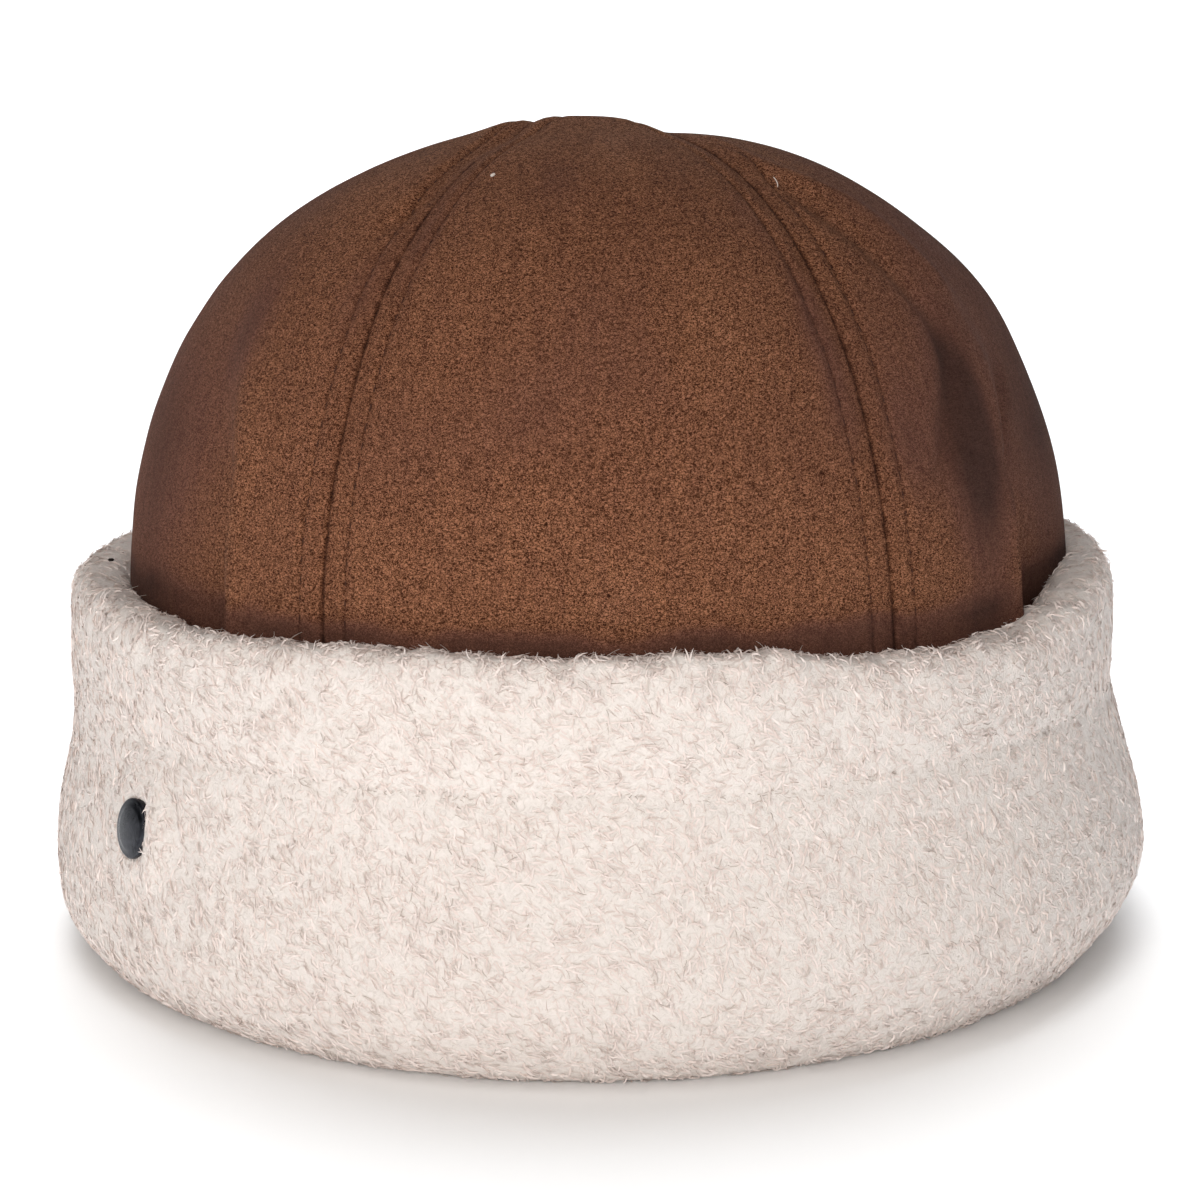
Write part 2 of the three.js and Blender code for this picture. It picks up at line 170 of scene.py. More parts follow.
SKIN = {
    "rows": 150, "columns": 470, "smoothing": 4, "inset": 0.9, "inner_swell": 5.3,
    "outer_over": (-7, -4), "rim_over": 3, "inner_over": (0.35, 0.75), "inner_above_hem": 8,
    "rim_lumps_over": (12, 2), "rests_over": 4,
}
# Places where the sides of the cuff bulge: height, reach up and down, bulge at the badge's side and
# at the other side.
BULGES = [(22, 15, 1.5, 0.8), (51, 6, 0.6, -0.3)]
RIM_LUMPS = [(5, 0.5), (3.1, 0.5)]
LUMPS = [(13, 0.1), (6, 0.08), (3.4, 0.18)]
HEM_DENT = {"depth": 0.8, "width": 1.1, "dimple_every": 4.4, "dimple_depth": 0.5}
# Hem's stitching line: its half width, the share of strands on it given dark tones as painted shade in
# the stitched dent, their scatter, and how the line wavers.
HEM_LINE = {"half_width": 0.6, "share": 0.75, "scatter": 0.25, "waver": 0.8, "waver_cell": 16}
# How far round to the left and right the sides of the cuff begin and are full.
BESIDE = (0.78, 0.95)

# Strands of the pile, with lengths in millimetres and turns in radians.
PILE = {
    "count": 116000, "pieces": 4, "length": (1.5, 3.3), "width": (0.22, 0.42), "rise": (0.06, 0.3),
    "sunk": 0.1, "turn": 1.6, "slant": -0.75, "swirl_cell": 14, "swirl": 0.8, "backwards": 0.35,
    "scatter": 0.55, "tilt": 0.5, "tufts": [(2.2, 0.14), (1.2, 0.22)], "flatter_beside": 0.5,
    "rim_tufts": 0.8, "shade_strand_share": 0.045, "shade_strand_narrower": 0.5, "rim_rise": 0.2, "floor_gap": 0.2,
    "floor_give": 0.15, "hem_shorter": 0.5, "hem_band": 1.4, "tufts_over": (12, 5),
    "rim_over": (9, 3), "rim_turn": 0.6, "arch": 0.82, "shape": (0.85, 1.0, 0.75),
    "hidden_share": 0.55, "hem_inside_over": (50, 66),
}
SPECK = {
    "over": (-96.8, -4.6), "within": 8, "lift": (0.1, -0.2, 0.4), "length": 1.5,
    "lies": (0.8, -0.3, 0.1), "thickness": 0.32, "swells": (0.5, 1, 0.9, 1, 0.4),
}
HAIRS = [
    {"azimuth": -20.8, "height": 145.2, "across": 0.9, "up": 0.3, "bend": 0, "thickness": 0.3},
    {"azimuth": 40.8, "height": 144.9, "across": 1.2, "up": 1.2, "bend": 0.5, "thickness": 0.11},
]
HAIR = {"lift": 0.25, "crown_radius": 85, "taper": 1.2}
RIM_FIBRES = {
    "count": 420, "length": (0.9, 2.6), "thickness": 0.045, "taper": 0.6, "curl": 1.1,
    "within": 4.5, "aside": (0.3, 1), "off": (0.3, 0.8),
}

BADGE = {
    "azimuth": -52.5, "height": 35.1, "diameter": 11, "thickness": 2, "dome": 0.5,
    "edge_round": 0.4, "sunk": 1.3, "post_diameter": 3, "post_length": 2.4, "rim_width": 0.7,
    "rim_groove": 0.12, "pile_over": 0.9, "pressed": 2, "pressed_over": (1.2, 0.2),
    "cleared_over": (2, 8), "front_from": 0.6, "sides": 96,
}

SEEDS = {
    "wrinkle": 11, "lump": 23, "swirl": 37, "pile": 41, "stitch": 53, "loose": 67, "nap": 79,
    "tuft": 97,
}
LATTICE = 32
UPWARD = np.array([0.0, 0.0, 1.0])
WHITE = (255, 255, 255)


def unit(vectors):
    return vectors / np.maximum(np.linalg.norm(vectors, axis=-1, keepdims=True), 1e-9)


def smoothstep(value, low, high):
    share = np.clip((value - low) / (high - low), 0, 1)
    return share * share * (3 - 2 * share)


def bell(value):
    """1 in the middle, falling off smoothly to both sides."""
    return np.exp(-(value**2))


def wrapped(azimuth):
    """The same azimuth from -180 to 180 degrees."""
    return (azimuth + 180) % 360 - 180


def ring_quads(rows, columns, closed=False):
    """Quads of a grid that goes round along its columns, and also along its rows if it is closed."""
    index = np.arange(rows * columns).reshape(rows, columns)
    after = np.roll(index, -1, axis=1)
    corners = [index, after, np.roll(after, -1, axis=0), np.roll(index, -1, axis=0)]
    quads = np.stack(corners, axis=-1)
    return (quads if closed else quads[:-1]).reshape(-1, 4)


def soft_noise(points, cell, seed):
    """Smooth noise from -1 to 1, with features about one cell across."""
    table = np.random.default_rng(seed).uniform(-1, 1, (LATTICE, LATTICE, LATTICE))
    scaled = np.asarray(points) / cell
    base = np.floor(scaled).astype(int)
    part = scaled - base
    part = part * part * (3 - 2 * part)
    total = np.zeros(scaled.shape[:-1])
    for corner in itertools.product((0, 1), repeat=3):
        index = (base + np.array(corner)) % LATTICE
        weight = np.prod(np.where(corner, part, 1 - part), axis=-1)
        total += weight * table[index[..., 0], index[..., 1], index[..., 2]]
    return total


def layered_noise(points, layers, seed):
    """Sum of soft noises, each with its own cell and amplitude."""
    return sum(
        amplitude * soft_noise(points, cell, seed + order)
        for order, (cell, amplitude) in enumerate(layers)
    )


def add_mesh(name, points, faces, materials, maps=None, material_of_face=None, sharp_angle=None):
    """A smooth mesh from points in millimetres and faces that all have as many corners.

    maps holds texture places for each point under the name of each map.
    """
    mesh = bpy.data.meshes.new(name)
    mesh.vertices.add(len(points))
    mesh.vertices.foreach_set("co", (np.asarray(points) * MM).astype(np.float32).ravel())
    corners = faces.astype(np.int32).ravel()
    starts = np.arange(len(faces), dtype=np.int32) * faces.shape[1]
    mesh.loops.add(len(corners))
    mesh.loops.foreach_set("vertex_index", corners)
    mesh.polygons.add(len(faces))
    mesh.polygons.foreach_set("loop_start", starts)
    for map_name, places in (maps or {}).items():
        layer = mesh.uv_layers.new(name=map_name)
        layer.data.foreach_set("uv", np.asarray(places, dtype=np.float32)[corners].ravel())
    for material in materials:
        mesh.materials.append(material)
    if material_of_face is not None:
        mesh.polygons.foreach_set("material_index", np.asarray(material_of_face, dtype=np.int32))
    mesh.polygons.foreach_set("use_smooth", np.ones(len(faces), dtype=bool))
    mesh.update(calc_edges=True)
    mesh.validate()
    if sharp_angle is not None:
        mesh.set_sharp_from_angle(angle=math.radians(sharp_angle))
    piece = bpy.data.objects.new(name, mesh)
    bpy.context.scene.collection.objects.link(piece)
    return piece


def join(parts):
    """Joins several lists of points and faces of one kind into one."""
    points, faces, start = [], [], 0
    for part_points, part_faces in parts:
        points.append(part_points)
        faces.append(part_faces + start)
        start += len(part_points)
    return np.concatenate(points), np.concatenate(faces)


# Materials


def srgb(red, green, blue):
    """A colour given as on screen, from 0 to 255, for a shader."""
    values = []
    for channel in (red, green, blue):
        share = channel / 255
        values.append(share / 12.92 if share <= 0.04045 else ((share + 0.055) / 1.055) ** 2.4)
    return (*values, 1)


class Shader:
    """A node material with a principled shader and short ways to add nodes to it."""

    def __init__(self, name, **values):
        self.material = bpy.data.materials.new(name)
        self.material.use_nodes = True
        self.tree = self.material.node_tree
        self.tree.nodes.clear()
        self.principled = self.node("ShaderNodeBsdfPrincipled", {})
        self.node("ShaderNodeOutputMaterial", {"Surface": self.principled.outputs["BSDF"]})
        self.made(**values)

    def fill(self, node, inputs):
        """Links each of the named inputs to another node, or sets it to a constant."""
        for name, value in inputs.items():
            if isinstance(value, bpy.types.NodeSocket):
                self.tree.links.new(value, node.inputs[name])
            else:
                node.inputs[name].default_value = value
        return node

    def node(self, kind, inputs):
        return self.fill(self.tree.nodes.new(kind), inputs)

    def made(self, **inputs):
        """The material, with these inputs of its principled shader filled."""
        self.fill(self.principled, {name.replace("_", " "): inputs[name] for name in inputs})
        return self.material

    def coordinates(self, kind):
        return self.node("ShaderNodeTexCoord", {}).outputs[kind]

    def map_values(self, name):
        """The two values of a named texture map."""
        node = self.node("ShaderNodeUVMap", {})
        node.uv_map = name
        split = self.node("ShaderNodeSeparateXYZ", {"Vector": node.outputs["UV"]})
        return split.outputs["X"], split.outputs["Y"]

    def stretched(self, vector, scale):
        return self.node("ShaderNodeMapping", {"Vector": vector, "Scale": scale}).outputs["Vector"]

    def noise(self, vector, scale, detail=2, roughness=0.5, distortion=0):
        inputs = {"Vector": vector, "Scale": scale, "Detail": detail}
        inputs.update({"Roughness": roughness, "Distortion": distortion})
        return self.node("ShaderNodeTexNoise", inputs).outputs["Fac"]

    def ramp(self, factor, stops):
        """Colours along a factor. A stop has a colour as on screen, or one plain grey value."""
        node = self.node("ShaderNodeValToRGB", {"Fac": factor})
        elements = node.color_ramp.elements
        while len(elements) < len(stops):
            elements.new(0.5)
        for element, (position, colour) in zip(elements, stops):
            element.position = position
            element.color = srgb(*colour) if isinstance(colour, tuple) else (colour, colour, colour, 1)
        return node.outputs["Color"]

    def mix(self, factor, first, second, blend="MIX"):
        node = self.tree.nodes.new("ShaderNodeMix")
        node.data_type = "RGBA"
        node.blend_type = blend
        return self.fill(node, {0: factor, 6: first, 7: second}).outputs[2]

    def product(self, first, *others):
        """Colours multiplied with each other."""
        for other in others:
            first = self.mix(1.0, first, other, "MULTIPLY")
        return first

    def math(self, operation, first, second):
        node = self.tree.nodes.new("ShaderNodeMath")
        node.operation = operation
        return self.fill(node, {0: first, 1: second}).outputs[0]

    def bump(self, height, strength, distance, **below):
        inputs = {"Height": height, "Strength": strength, "Distance": distance, **below}
        return self.node("ShaderNodeBump", inputs).outputs["Normal"]


def suede_material():
    """Brown faux suede: short brushed nap with worm-like pits, darker where the nap lies flat and where
    shade is painted, lighter where light is painted.
    """
    shader = Shader("suede", Roughness=0.92, Sheen_Weight=0.03, Sheen_Roughness=0.5)
    shader.made(Sheen_Tint=srgb(214, 190, 184), Specular_IOR_Level=0.06)
    flat = shader.coordinates("UV")
    from_seam, lay_and_painted_light = shader.map_values("Nap")
    maze = shader.noise(shader.stretched(flat, (1.95, 3.0, 1)), 1.0, 1, 0.5, 1.0)
    pits = shader.math("ABSOLUTE", shader.math("SUBTRACT", maze, 0.5), 0.0)
    coarse = shader.noise(shader.stretched(flat, (0.5, 0.9, 1)), 1.0, 2, 0.5, 0.8)
    streaks = shader.noise(shader.stretched(flat, (0.5, 0.07, 1)), 1.0, 2, 0.5, 0.4)
    uneven = shader.noise(shader.coordinates("Object"), 420, 2, 0.5, 0.5)
    # The low end of the lay value, where the nap lies flat or shade is painted, gets dark purplish
    # tones; the high end, where the nap is golden or light is painted, gets golden ones.
    dark_tones = [(0.0, (94, 67, 59)), (0.28, (147, 102, 85)), (0.5, (174, 121, 92))]
    tone = shader.ramp(lay_and_painted_light, dark_tones + [(0.72, (185, 130, 98)), (1.0, (190, 136, 107))])
    smooth_worms = shader.ramp(pits, [(0.0, (176, 168, 164)), (0.12, (232, 230, 229))])
    dark_pits = [(0.0, (44, 34, 30)), (0.045, (124, 112, 105))]
    deep_worms = shader.ramp(pits, dark_pits + [(0.09, (220, 215, 211)), (0.18, WHITE)])
    depth = shader.ramp(lay_and_painted_light, [(0.12, 0.1), (0.5, 0.95)])
    worms = shader.mix(depth, smooth_worms, deep_worms)
    grain = shader.ramp(coarse, [(0.32, (244, 242, 241)), (0.66, WHITE)])
    brushed = shader.ramp(streaks, [(0.32, (238, 236, 238)), (0.68, (255, 254, 252))])
    waver = shader.math("MULTIPLY", shader.math("SUBTRACT", uneven, 0.5), 0.24)
    seam_place = shader.math("MULTIPLY", shader.math("ADD", from_seam, waver), 0.4)
    seam_line = [(0.0, (142, 132, 127)), (0.025, (200, 193, 189)), (0.06, (248, 246, 245))]
    stitch_line = [(0.35, WHITE), (0.4, (218, 213, 210)), (0.45, WHITE)]
    sewn = shader.ramp(seam_place, seam_line + stitch_line)
    rough = shader.bump(coarse, 0.3, 0.0005)
    fine = shader.bump(pits, 0.7, 0.0008, Normal=rough)
    return shader.made(Base_Color=shader.product(tone, worms, grain, brushed, sewn), Normal=fine)


def backing_material():
    """Pale fleece backing on the inside of the crown."""
    shader = Shader("fleece_backing", Roughness=0.95, Sheen_Weight=0.15, Specular_IOR_Level=0.1)
    space = shader.coordinates("Object")
    curls = shader.noise(space, 420, 4, 0.6, 2.4)
    patches = shader.noise(space, 60, 2, 0.5, 0.4)
    tone = shader.ramp(curls, [(0.3, (188, 174, 164)), (0.6, (232, 222, 212))])
    soft = shader.ramp(patches, [(0.3, (238, 236, 234)), (0.7, WHITE)])
    return shader.made(Base_Color=shader.product(tone, soft), Normal=shader.bump(curls, 0.9, 0.0012))


def skin_material():
    """Ground of the pile: cream like its strands but painted a little darker, as the shade under them,
    with a curly wavering tone.
    """
    shader = Shader("pile_ground", Roughness=0.95, Specular_IOR_Level=0.08)
    curls = shader.noise(shader.coordinates("Object"), 620, 3, 0.6, 2.4)
    # Painted shade: these tones sit below those of the strands.
    stops = [(0.33, (220, 211, 205)), (0.46, (234, 226, 220)), (0.62, (239, 231, 226))]
    return shader.made(Base_Color=shader.ramp(curls, stops), Normal=shader.bump(curls, 0.5, 0.0006))


def strand_material():
    """Cream strands of the pile, painted a little darker at the root as shade, with a few dark strands
    between that are painted shadow in the gaps between tufts.
    """
    shader = Shader("pile_strands", Roughness=0.9, Specular_IOR_Level=0.08)
    shader.made(Sheen_Weight=0.15, Sheen_Roughness=0.6, Sheen_Tint=srgb(240, 236, 236))
    which, along = shader.map_values("UVMap")
    dark = PILE["shade_strand_share"]
    # Painted shadow: the darkest tones go to the few strands that stand in for the shade in the gaps
    # between tufts.
    dark_tones = [(0.0, (190, 178, 170)), (dark, (214, 203, 196))]
    tones = [(dark + 0.02, (232, 218, 212)), (0.5, (240, 228, 223)), (1.0, (249, 239, 235))]
    each = shader.ramp(which, dark_tones + tones)
    # Painted shade: each strand is darker near its root, where the strands over it would shade it.
    root = shader.ramp(along, [(0.0, (240, 235, 232)), (0.3, (252, 251, 250))])
    return shader.made(Base_Color=shader.product(each, root))


def thread_material():
    shader = Shader("brown_thread", Roughness=0.8, Specular_IOR_Level=0.12)
    twist = shader.noise(shader.stretched(shader.coordinates("Object"), (1, 1, 3)), 1800)
    tone = shader.ramp(twist, [(0.3, (50, 32, 26)), (0.7, (78, 51, 41))])
    return shader.made(Base_Color=tone, Normal=shader.bump(twist, 0.5, 0.0002))


def lint_material(name, dark, light):
    """A speck or fibre that clings to the cloth."""
    shader = Shader(name, Roughness=0.8, Specular_IOR_Level=0.1)
    uneven = shader.noise(shader.coordinates("Object"), 900)
    return shader.made(Base_Color=shader.ramp(uneven, [(0.3, dark), (0.7, light)]))


def metal_material():
    """Dark satin metal, brushed straight across, with faint wear."""
    shader = Shader("dark_metal", Metallic=1.0, Specular_IOR_Level=0.5)
    space = shader.coordinates("Object")
    brushed = shader.noise(shader.stretched(space, (1, 1, 0.06)), 5200, 2, 0.6)
    worn = shader.noise(space, 420, 3, 0.6, 0.6)
    tone = shader.ramp(worn, [(0.35, (44, 45, 50)), (0.7, (72, 73, 79))])
    lines = shader.ramp(brushed, [(0.3, (206, 206, 208)), (0.7, WHITE)])
    gloss = shader.ramp(worn, [(0.3, 0.24), (0.75, 0.4)])
    shader.made(Base_Color=shader.product(tone, lines), Roughness=gloss)
    return shader.made(Normal=shader.bump(brushed, 0.2, 0.0001))


def floor_material():
    shader = Shader("pale_floor", Roughness=0.85, Specular_IOR_Level=0.1)
    mottle = shader.noise(shader.coordinates("Object"), 3)
    return shader.made(Base_Color=shader.ramp(mottle, [(0.3, (246, 247, 248)), (0.7, (249, 250, 251))]))


# Crown


def crown_form(azimuth, climb):
    """Smooth crown before panels and folds. climb runs 0 to 1 up the wall and to 2 at the apex."""
    azimuth, climb = np.broadcast_arrays(azimuth, climb)
    angle = np.radians(azimuth)
    wall_climb = np.clip(climb, 0, 1)
    turn = np.clip(climb - 1, 0, 1) * math.pi / 2
    wall_spread = 1 - CROWN["taper"] * (1 - wall_climb) ** 2
    dome_spread = np.maximum(np.cos(turn), 0) ** (2 / CROWN["plan_power"])
    spread = np.where(climb < 1, wall_spread, dome_spread)
    rise = np.sin(turn) ** (2 / CROWN["rise_power"])
    wall_height = CROWN["bottom"] + (CROWN["shoulder"] - CROWN["bottom"]) * wall_climb
    height = wall_height + (CROWN["top"] - CROWN["shoulder"]) * rise
    x = CROWN["centre_x"] + CROWN["half_width"] * spread * np.sin(angle)
    y = -CROWN["half_depth"] * spread * np.cos(angle)
    mean_radius = 0.5 * (CROWN["half_width"] + CROWN["half_depth"]) * spread
    dip = CROWN["apex_dip"] * bell(mean_radius / CROWN["apex_dip_radius"])
    return np.stack([x, y, height - CROWN["backward_lean"] * y * rise * rise - dip], axis=-1)


def crown_normal(azimuth, climb):
    step = 0.01
    low = np.minimum(climb, 2 - 2 * step)
    along = crown_form(azimuth + 1, low) - crown_form(azimuth - 1, low)
    upward = crown_form(azimuth, low + step) - crown_form(azimuth, np.maximum(low - step, 0))
    return unit(np.cross(along, upward))


def fold_place(fold, azimuth, height):
    """How far an azimuth is past the ridge of a standing fold, in degrees, and how deep the fold is."""
    heights, ridges, depths = np.array(fold["rows"]).T
    past = (azimuth - np.interp(height, heights, ridges)) * fold["towards_back"]
    return past, np.interp(height, heights, depths)


def fold_offset(fold, azimuth, height):
    """How far a standing fold moves the cloth out or in."""
    past, depth = fold_place(fold, azimuth, height)
    softer = (FOLD["high_step"] - FOLD["low_step"]) * smoothstep(height, *FOLD["softens"])
    step = FOLD["low_step"] + softer
    lip = FOLD["lip"] * depth * bell(past / step)
    drop = smoothstep(past / step, 0, 1) * (1 - smoothstep(past, step, FOLD["span"]))
    return lip - depth * drop


def gore_share(gore, azimuth):
    """How far across a gore an azimuth is, from 0 to 1."""
    return np.clip((azimuth - gore["from"]) / (gore["to"] - gore["from"]), 0, 1)


def crown_radius(gore, climb):
    """The crown's radius in the middle of a gore."""
    middle = crown_form(0.5 * (gore["from"] + gore["to"]), climb)
    return np.hypot(middle[..., 0] - CROWN["centre_x"], middle[..., 1])


def seam_distance(gore, azimuth, climb):
    """Distance along the cloth from the nearer edge of a gore, and the gore's width there."""
    share = gore_share(gore, azimuth)
    width = np.radians(gore["to"] - gore["from"]) * crown_radius(gore, climb)
    return width * np.minimum(share, 1 - share), width


def crease_relief(azimuth, height, radius):
    """Relief of the soft creases."""
    total = np.zeros(np.shape(azimuth))
    for crease in CREASES:
        heights, azimuths = np.array(crease["line"]).T
        away = np.radians(wrapped(azimuth - np.interp(height, heights, azimuths))) * radius
        inside, outside = CREASE_ENDS["inside"], CREASE_ENDS["outside"]
        started = smoothstep(height, heights[0] - outside, heights[0] + inside)
        ended = smoothstep(height, heights[-1] - inside, heights[-1] + outside)
        fade = started * (1 - ended)
        total = total + crease["relief"] * fade * bell(away / crease["width"])
    return total


def swell_relief(form):
    """Relief of the soft swells of the crown's outline."""
    total = np.zeros(form.shape[:-1])
    for swell in SWELLS:
        far = np.linalg.norm(form - np.array(swell["at"]), axis=-1)
        total = total + swell["lift"] * bell(far / swell["reach"])
    return total


def gore_relief(gore, azimuth, climb):
    """Outward relief of a gore: its swell, fold, creases, seams, topstitching and wrinkles."""
    height = crown_form(90, climb)[..., 2]
    share = gore_share(gore, azimuth)
    swell = np.sin(np.pi * share)
    full = gore["extra_puff"] * swell - SWELL["seam_sink"] * (1 - swell)
    radius = crown_radius(gore, climb)
    fuller = SWELL["at_tip"] + (1 - SWELL["at_tip"]) * smoothstep(radius, *SWELL["tip_reach"])
    relief = full * fuller * smoothstep(height, SWELL["starts"], SWELL["full"])
    if "fold" in gore:
        relief = relief + fold_offset(FOLDS[gore["fold"]], azimuth, height)
    from_seam, width = seam_distance(gore, azimuth, climb)
    relief = relief - SEAM["depth"] * bell(from_seam / SEAM["width"])
    relief = relief - SEAM["valley_depth"] * bell(from_seam / SEAM["valley_width"])
    from_row = (from_seam - TOPSTITCH["offset"]) / TOPSTITCH["groove_width"]
    least = TOPSTITCH["least_half_panel"]
    room = smoothstep(0.5 * width, least, least + TOPSTITCH["groove_fades_over"])
    deeper = TOPSTITCH["high_groove"] - TOPSTITCH["low_groove"]
    groove = TOPSTITCH["low_groove"] + deeper * smoothstep(height, *TOPSTITCH["high_over"])
    relief = relief - groove * bell(from_row) * room
    relief = relief + crease_relief(azimuth, height, radius)
    form = crown_form(azimuth, climb)
    return relief + swell_relief(form) + layered_noise(form, WRINKLES, SEEDS["wrinkle"])


def nap_lay_and_painted_light(gore, azimuth, climb):
    """How the nap is brushed, from 0 where it lies flat and dark to 1 where it is golden, with painted
    shade and painted light laid over it.
    """
    form = crown_form(azimuth, climb)
    height = crown_form(90, climb)[..., 2]
    radius = crown_radius(gore, climb)
    around = wrapped(azimuth)
    lay_and_painted_light = 0.5 + layered_noise(form, NAP_AND_PAINTED_LIGHT["patches"], SEEDS["nap"])
    # Painted shade: the crown is darker towards its left and right sides, where less light falls.
    lay_and_painted_light = lay_and_painted_light - NAP_AND_PAINTED_LIGHT["side"] * smoothstep(np.abs(around), *NAP_AND_PAINTED_LIGHT["side_over"])
    # Pressed nap and painted shade: a darker band just above the cuff, where the rim presses the nap
    # and shades the crown; the band fades towards the sides.
    ragged = height + soft_noise(form, NAP_AND_PAINTED_LIGHT["ragged_cell"], SEEDS["nap"] + 5)
    foot_fade = NAP_AND_PAINTED_LIGHT["foot_fades"] * smoothstep(np.abs(around), *NAP_AND_PAINTED_LIGHT["foot_fades_over"])
    pressed_foot_and_shade = NAP_AND_PAINTED_LIGHT["pressed_foot_and_shade"] * (1 - foot_fade)
    lay_and_painted_light = lay_and_painted_light - pressed_foot_and_shade * (1 - smoothstep(ragged, *NAP_AND_PAINTED_LIGHT["foot_band"]))
    # Painted light: the nap is lighter low on the wall, as if lit from low in front.
    lay_and_painted_light = lay_and_painted_light + NAP_AND_PAINTED_LIGHT["low"] * (1 - smoothstep(height, *NAP_AND_PAINTED_LIGHT["low_band"]))
    # Painted shade behind each standing fold, and a painted highlight along its ridge.
    if "fold" in gore:
        past, depth = fold_place(FOLDS[gore["fold"]], azimuth, height)
        strength = smoothstep(depth, *NAP_AND_PAINTED_LIGHT["fold_depths"])
        lay_and_painted_light = lay_and_painted_light - NAP_AND_PAINTED_LIGHT["painted_shade_behind_fold"] * strength * smoothstep(past, *NAP_AND_PAINTED_LIGHT["behind_over"])
        from_ridge = (past - NAP_AND_PAINTED_LIGHT["ridge_at"]) / NAP_AND_PAINTED_LIGHT["ridge_width"]
        lay_and_painted_light = lay_and_painted_light + NAP_AND_PAINTED_LIGHT["painted_highlight_on_ridge"] * strength * bell(from_ridge)
    # Brushed marks, many of them painted shade or painted light.
    for at, level, across, up, change in NAP_AND_PAINTED_LIGHT_MARKS:
        aside = np.radians(wrapped(azimuth - at)) * radius / across
        above = (height - level) / up
        lay_and_painted_light = lay_and_painted_light + change * np.exp(-(aside**2) - above**2)
    return np.clip(lay_and_painted_light, 0, 1)


def crown_place(gore, azimuth, climb, lift=0):
    """A point on the outside of a gore, lifted off it along its normal."""
    out = gore_relief(gore, azimuth, climb) + lift
    return crown_form(azimuth, climb) + crown_normal(azimuth, climb) * out[..., None]


def crown_profile():
    """Many climbs from the bottom to the tip, with the distance along the cloth and the height."""
    tip_spread = 2 * CROWN["tip_radius"] / (CROWN["half_width"] + CROWN["half_depth"])
    tip_climb = 1 + math.acos(tip_spread ** (CROWN["plan_power"] / 2)) / (math.pi / 2)
    climbs = np.linspace(0, tip_climb, 4000)
    places = crown_form(90, climbs)
    steps = np.linalg.norm(np.diff(places, axis=0), axis=1)
    return climbs, np.concatenate([[0], np.cumsum(steps)]), places[:, 2]


def gore_grid(gore):
    """Azimuths, climbs and distances up the cloth of the points of a gore."""
    climbs, lengths, heights = crown_profile()
    hidden_length = lengths[np.argmax(heights > GORE_GRID["hidden_height"])]
    hidden = np.linspace(0, hidden_length, GORE_GRID["hidden_rows"], endpoint=False)
    seen = np.linspace(hidden_length, lengths[-1], GORE_GRID["seen_rows"])
    row_lengths = np.concatenate([hidden, seen])
    climb = np.interp(row_lengths, lengths, climbs)[:, None]
    even = np.linspace(0, 1, GORE_GRID["columns"])
    share = even - GORE_GRID["gather"] * np.sin(2 * np.pi * even) / (2 * np.pi)
    radius = crown_radius(gore, climb)
    margin = np.degrees(0.5 * SEAM["gap"] / radius)
    first = gore["from"] + margin
    last = gore["to"] - margin
    azimuth = first + (last - first) * share[None, :]
    return azimuth, np.broadcast_to(climb, azimuth.shape), row_lengths


def shell_faces(rows, columns):
    """Quads of a closed shell between a grid of outer points and the same grid of inner points."""
    index = np.arange(rows * columns).reshape(rows, columns)
    low, high = index[:-1], index[1:]
    outer = np.stack([low[:, :-1], low[:, 1:], high[:, 1:], high[:, :-1]], axis=-1).reshape(-1, 4)
    inner = outer[:, ::-1] + rows * columns
    border = np.concatenate([index[0, :-1], index[:-1, -1], index[-1, :0:-1], index[:0:-1, 0]])
    after = np.roll(border, -1)
    side = np.stack([border + rows * columns, after + rows * columns, after, border], axis=-1)
    return outer, inner, side


def add_gore(gore, suede, backing):
    azimuth, climb, row_lengths = gore_grid(gore)
    outer_points = crown_place(gore, azimuth, climb)
    inner_points = crown_place(gore, azimuth, climb, -CROWN["wall"])
    rows, columns = azimuth.shape
    outer, inner, side = shell_faces(rows, columns)
    points = np.concatenate([outer_points.reshape(-1, 3), inner_points.reshape(-1, 3)])
    middle = 0.5 * (gore["from"] + gore["to"])
    radius = crown_radius(gore, climb)
    across = np.radians(azimuth - middle) * radius + middle
    flat = np.stack([across, np.broadcast_to(row_lengths[:, None], azimuth.shape)], axis=-1)
    from_seam, _ = seam_distance(gore, azimuth, climb)
    # The second value is the nap's lay together with the painted shade and light.
    nap = np.stack([from_seam / TOPSTITCH["offset"], nap_lay_and_painted_light(gore, azimuth, climb)], axis=-1)
    maps = {
        "UVMap": np.concatenate([flat.reshape(-1, 2)] * 2),
        "Nap": np.concatenate([nap.reshape(-1, 2)] * 2),
    }
    faces = np.concatenate([outer, inner, side])
    is_backing = np.repeat([0, 1, 0], [len(outer), len(inner), len(side)])
    name = "suede_panel_" + gore["name"]
    piece = add_mesh(name, points, faces, [suede, backing], maps, is_backing, sharp_angle=50)
    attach(piece, "root")
    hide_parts("crown_panel_" + gore["name"])


def tube(path, radii, across, sides):
    """Points and quads of a tube along a path. across is the direction of its first side."""
    ahead = unit(np.gradient(path, axis=0))
    side = unit(across - ahead * np.sum(across * ahead, axis=-1, keepdims=True))
    up = np.cross(ahead, side)
    turn = np.arange(sides) * 2 * math.pi / sides
    ring = side[:, None] * np.cos(turn)[None, :, None] + up[:, None] * np.sin(turn)[None, :, None]
    points = (path[:, None] + ring * np.asarray(radii)[:, None, None]).reshape(-1, 3)
    return points, ring_quads(len(path), sides)


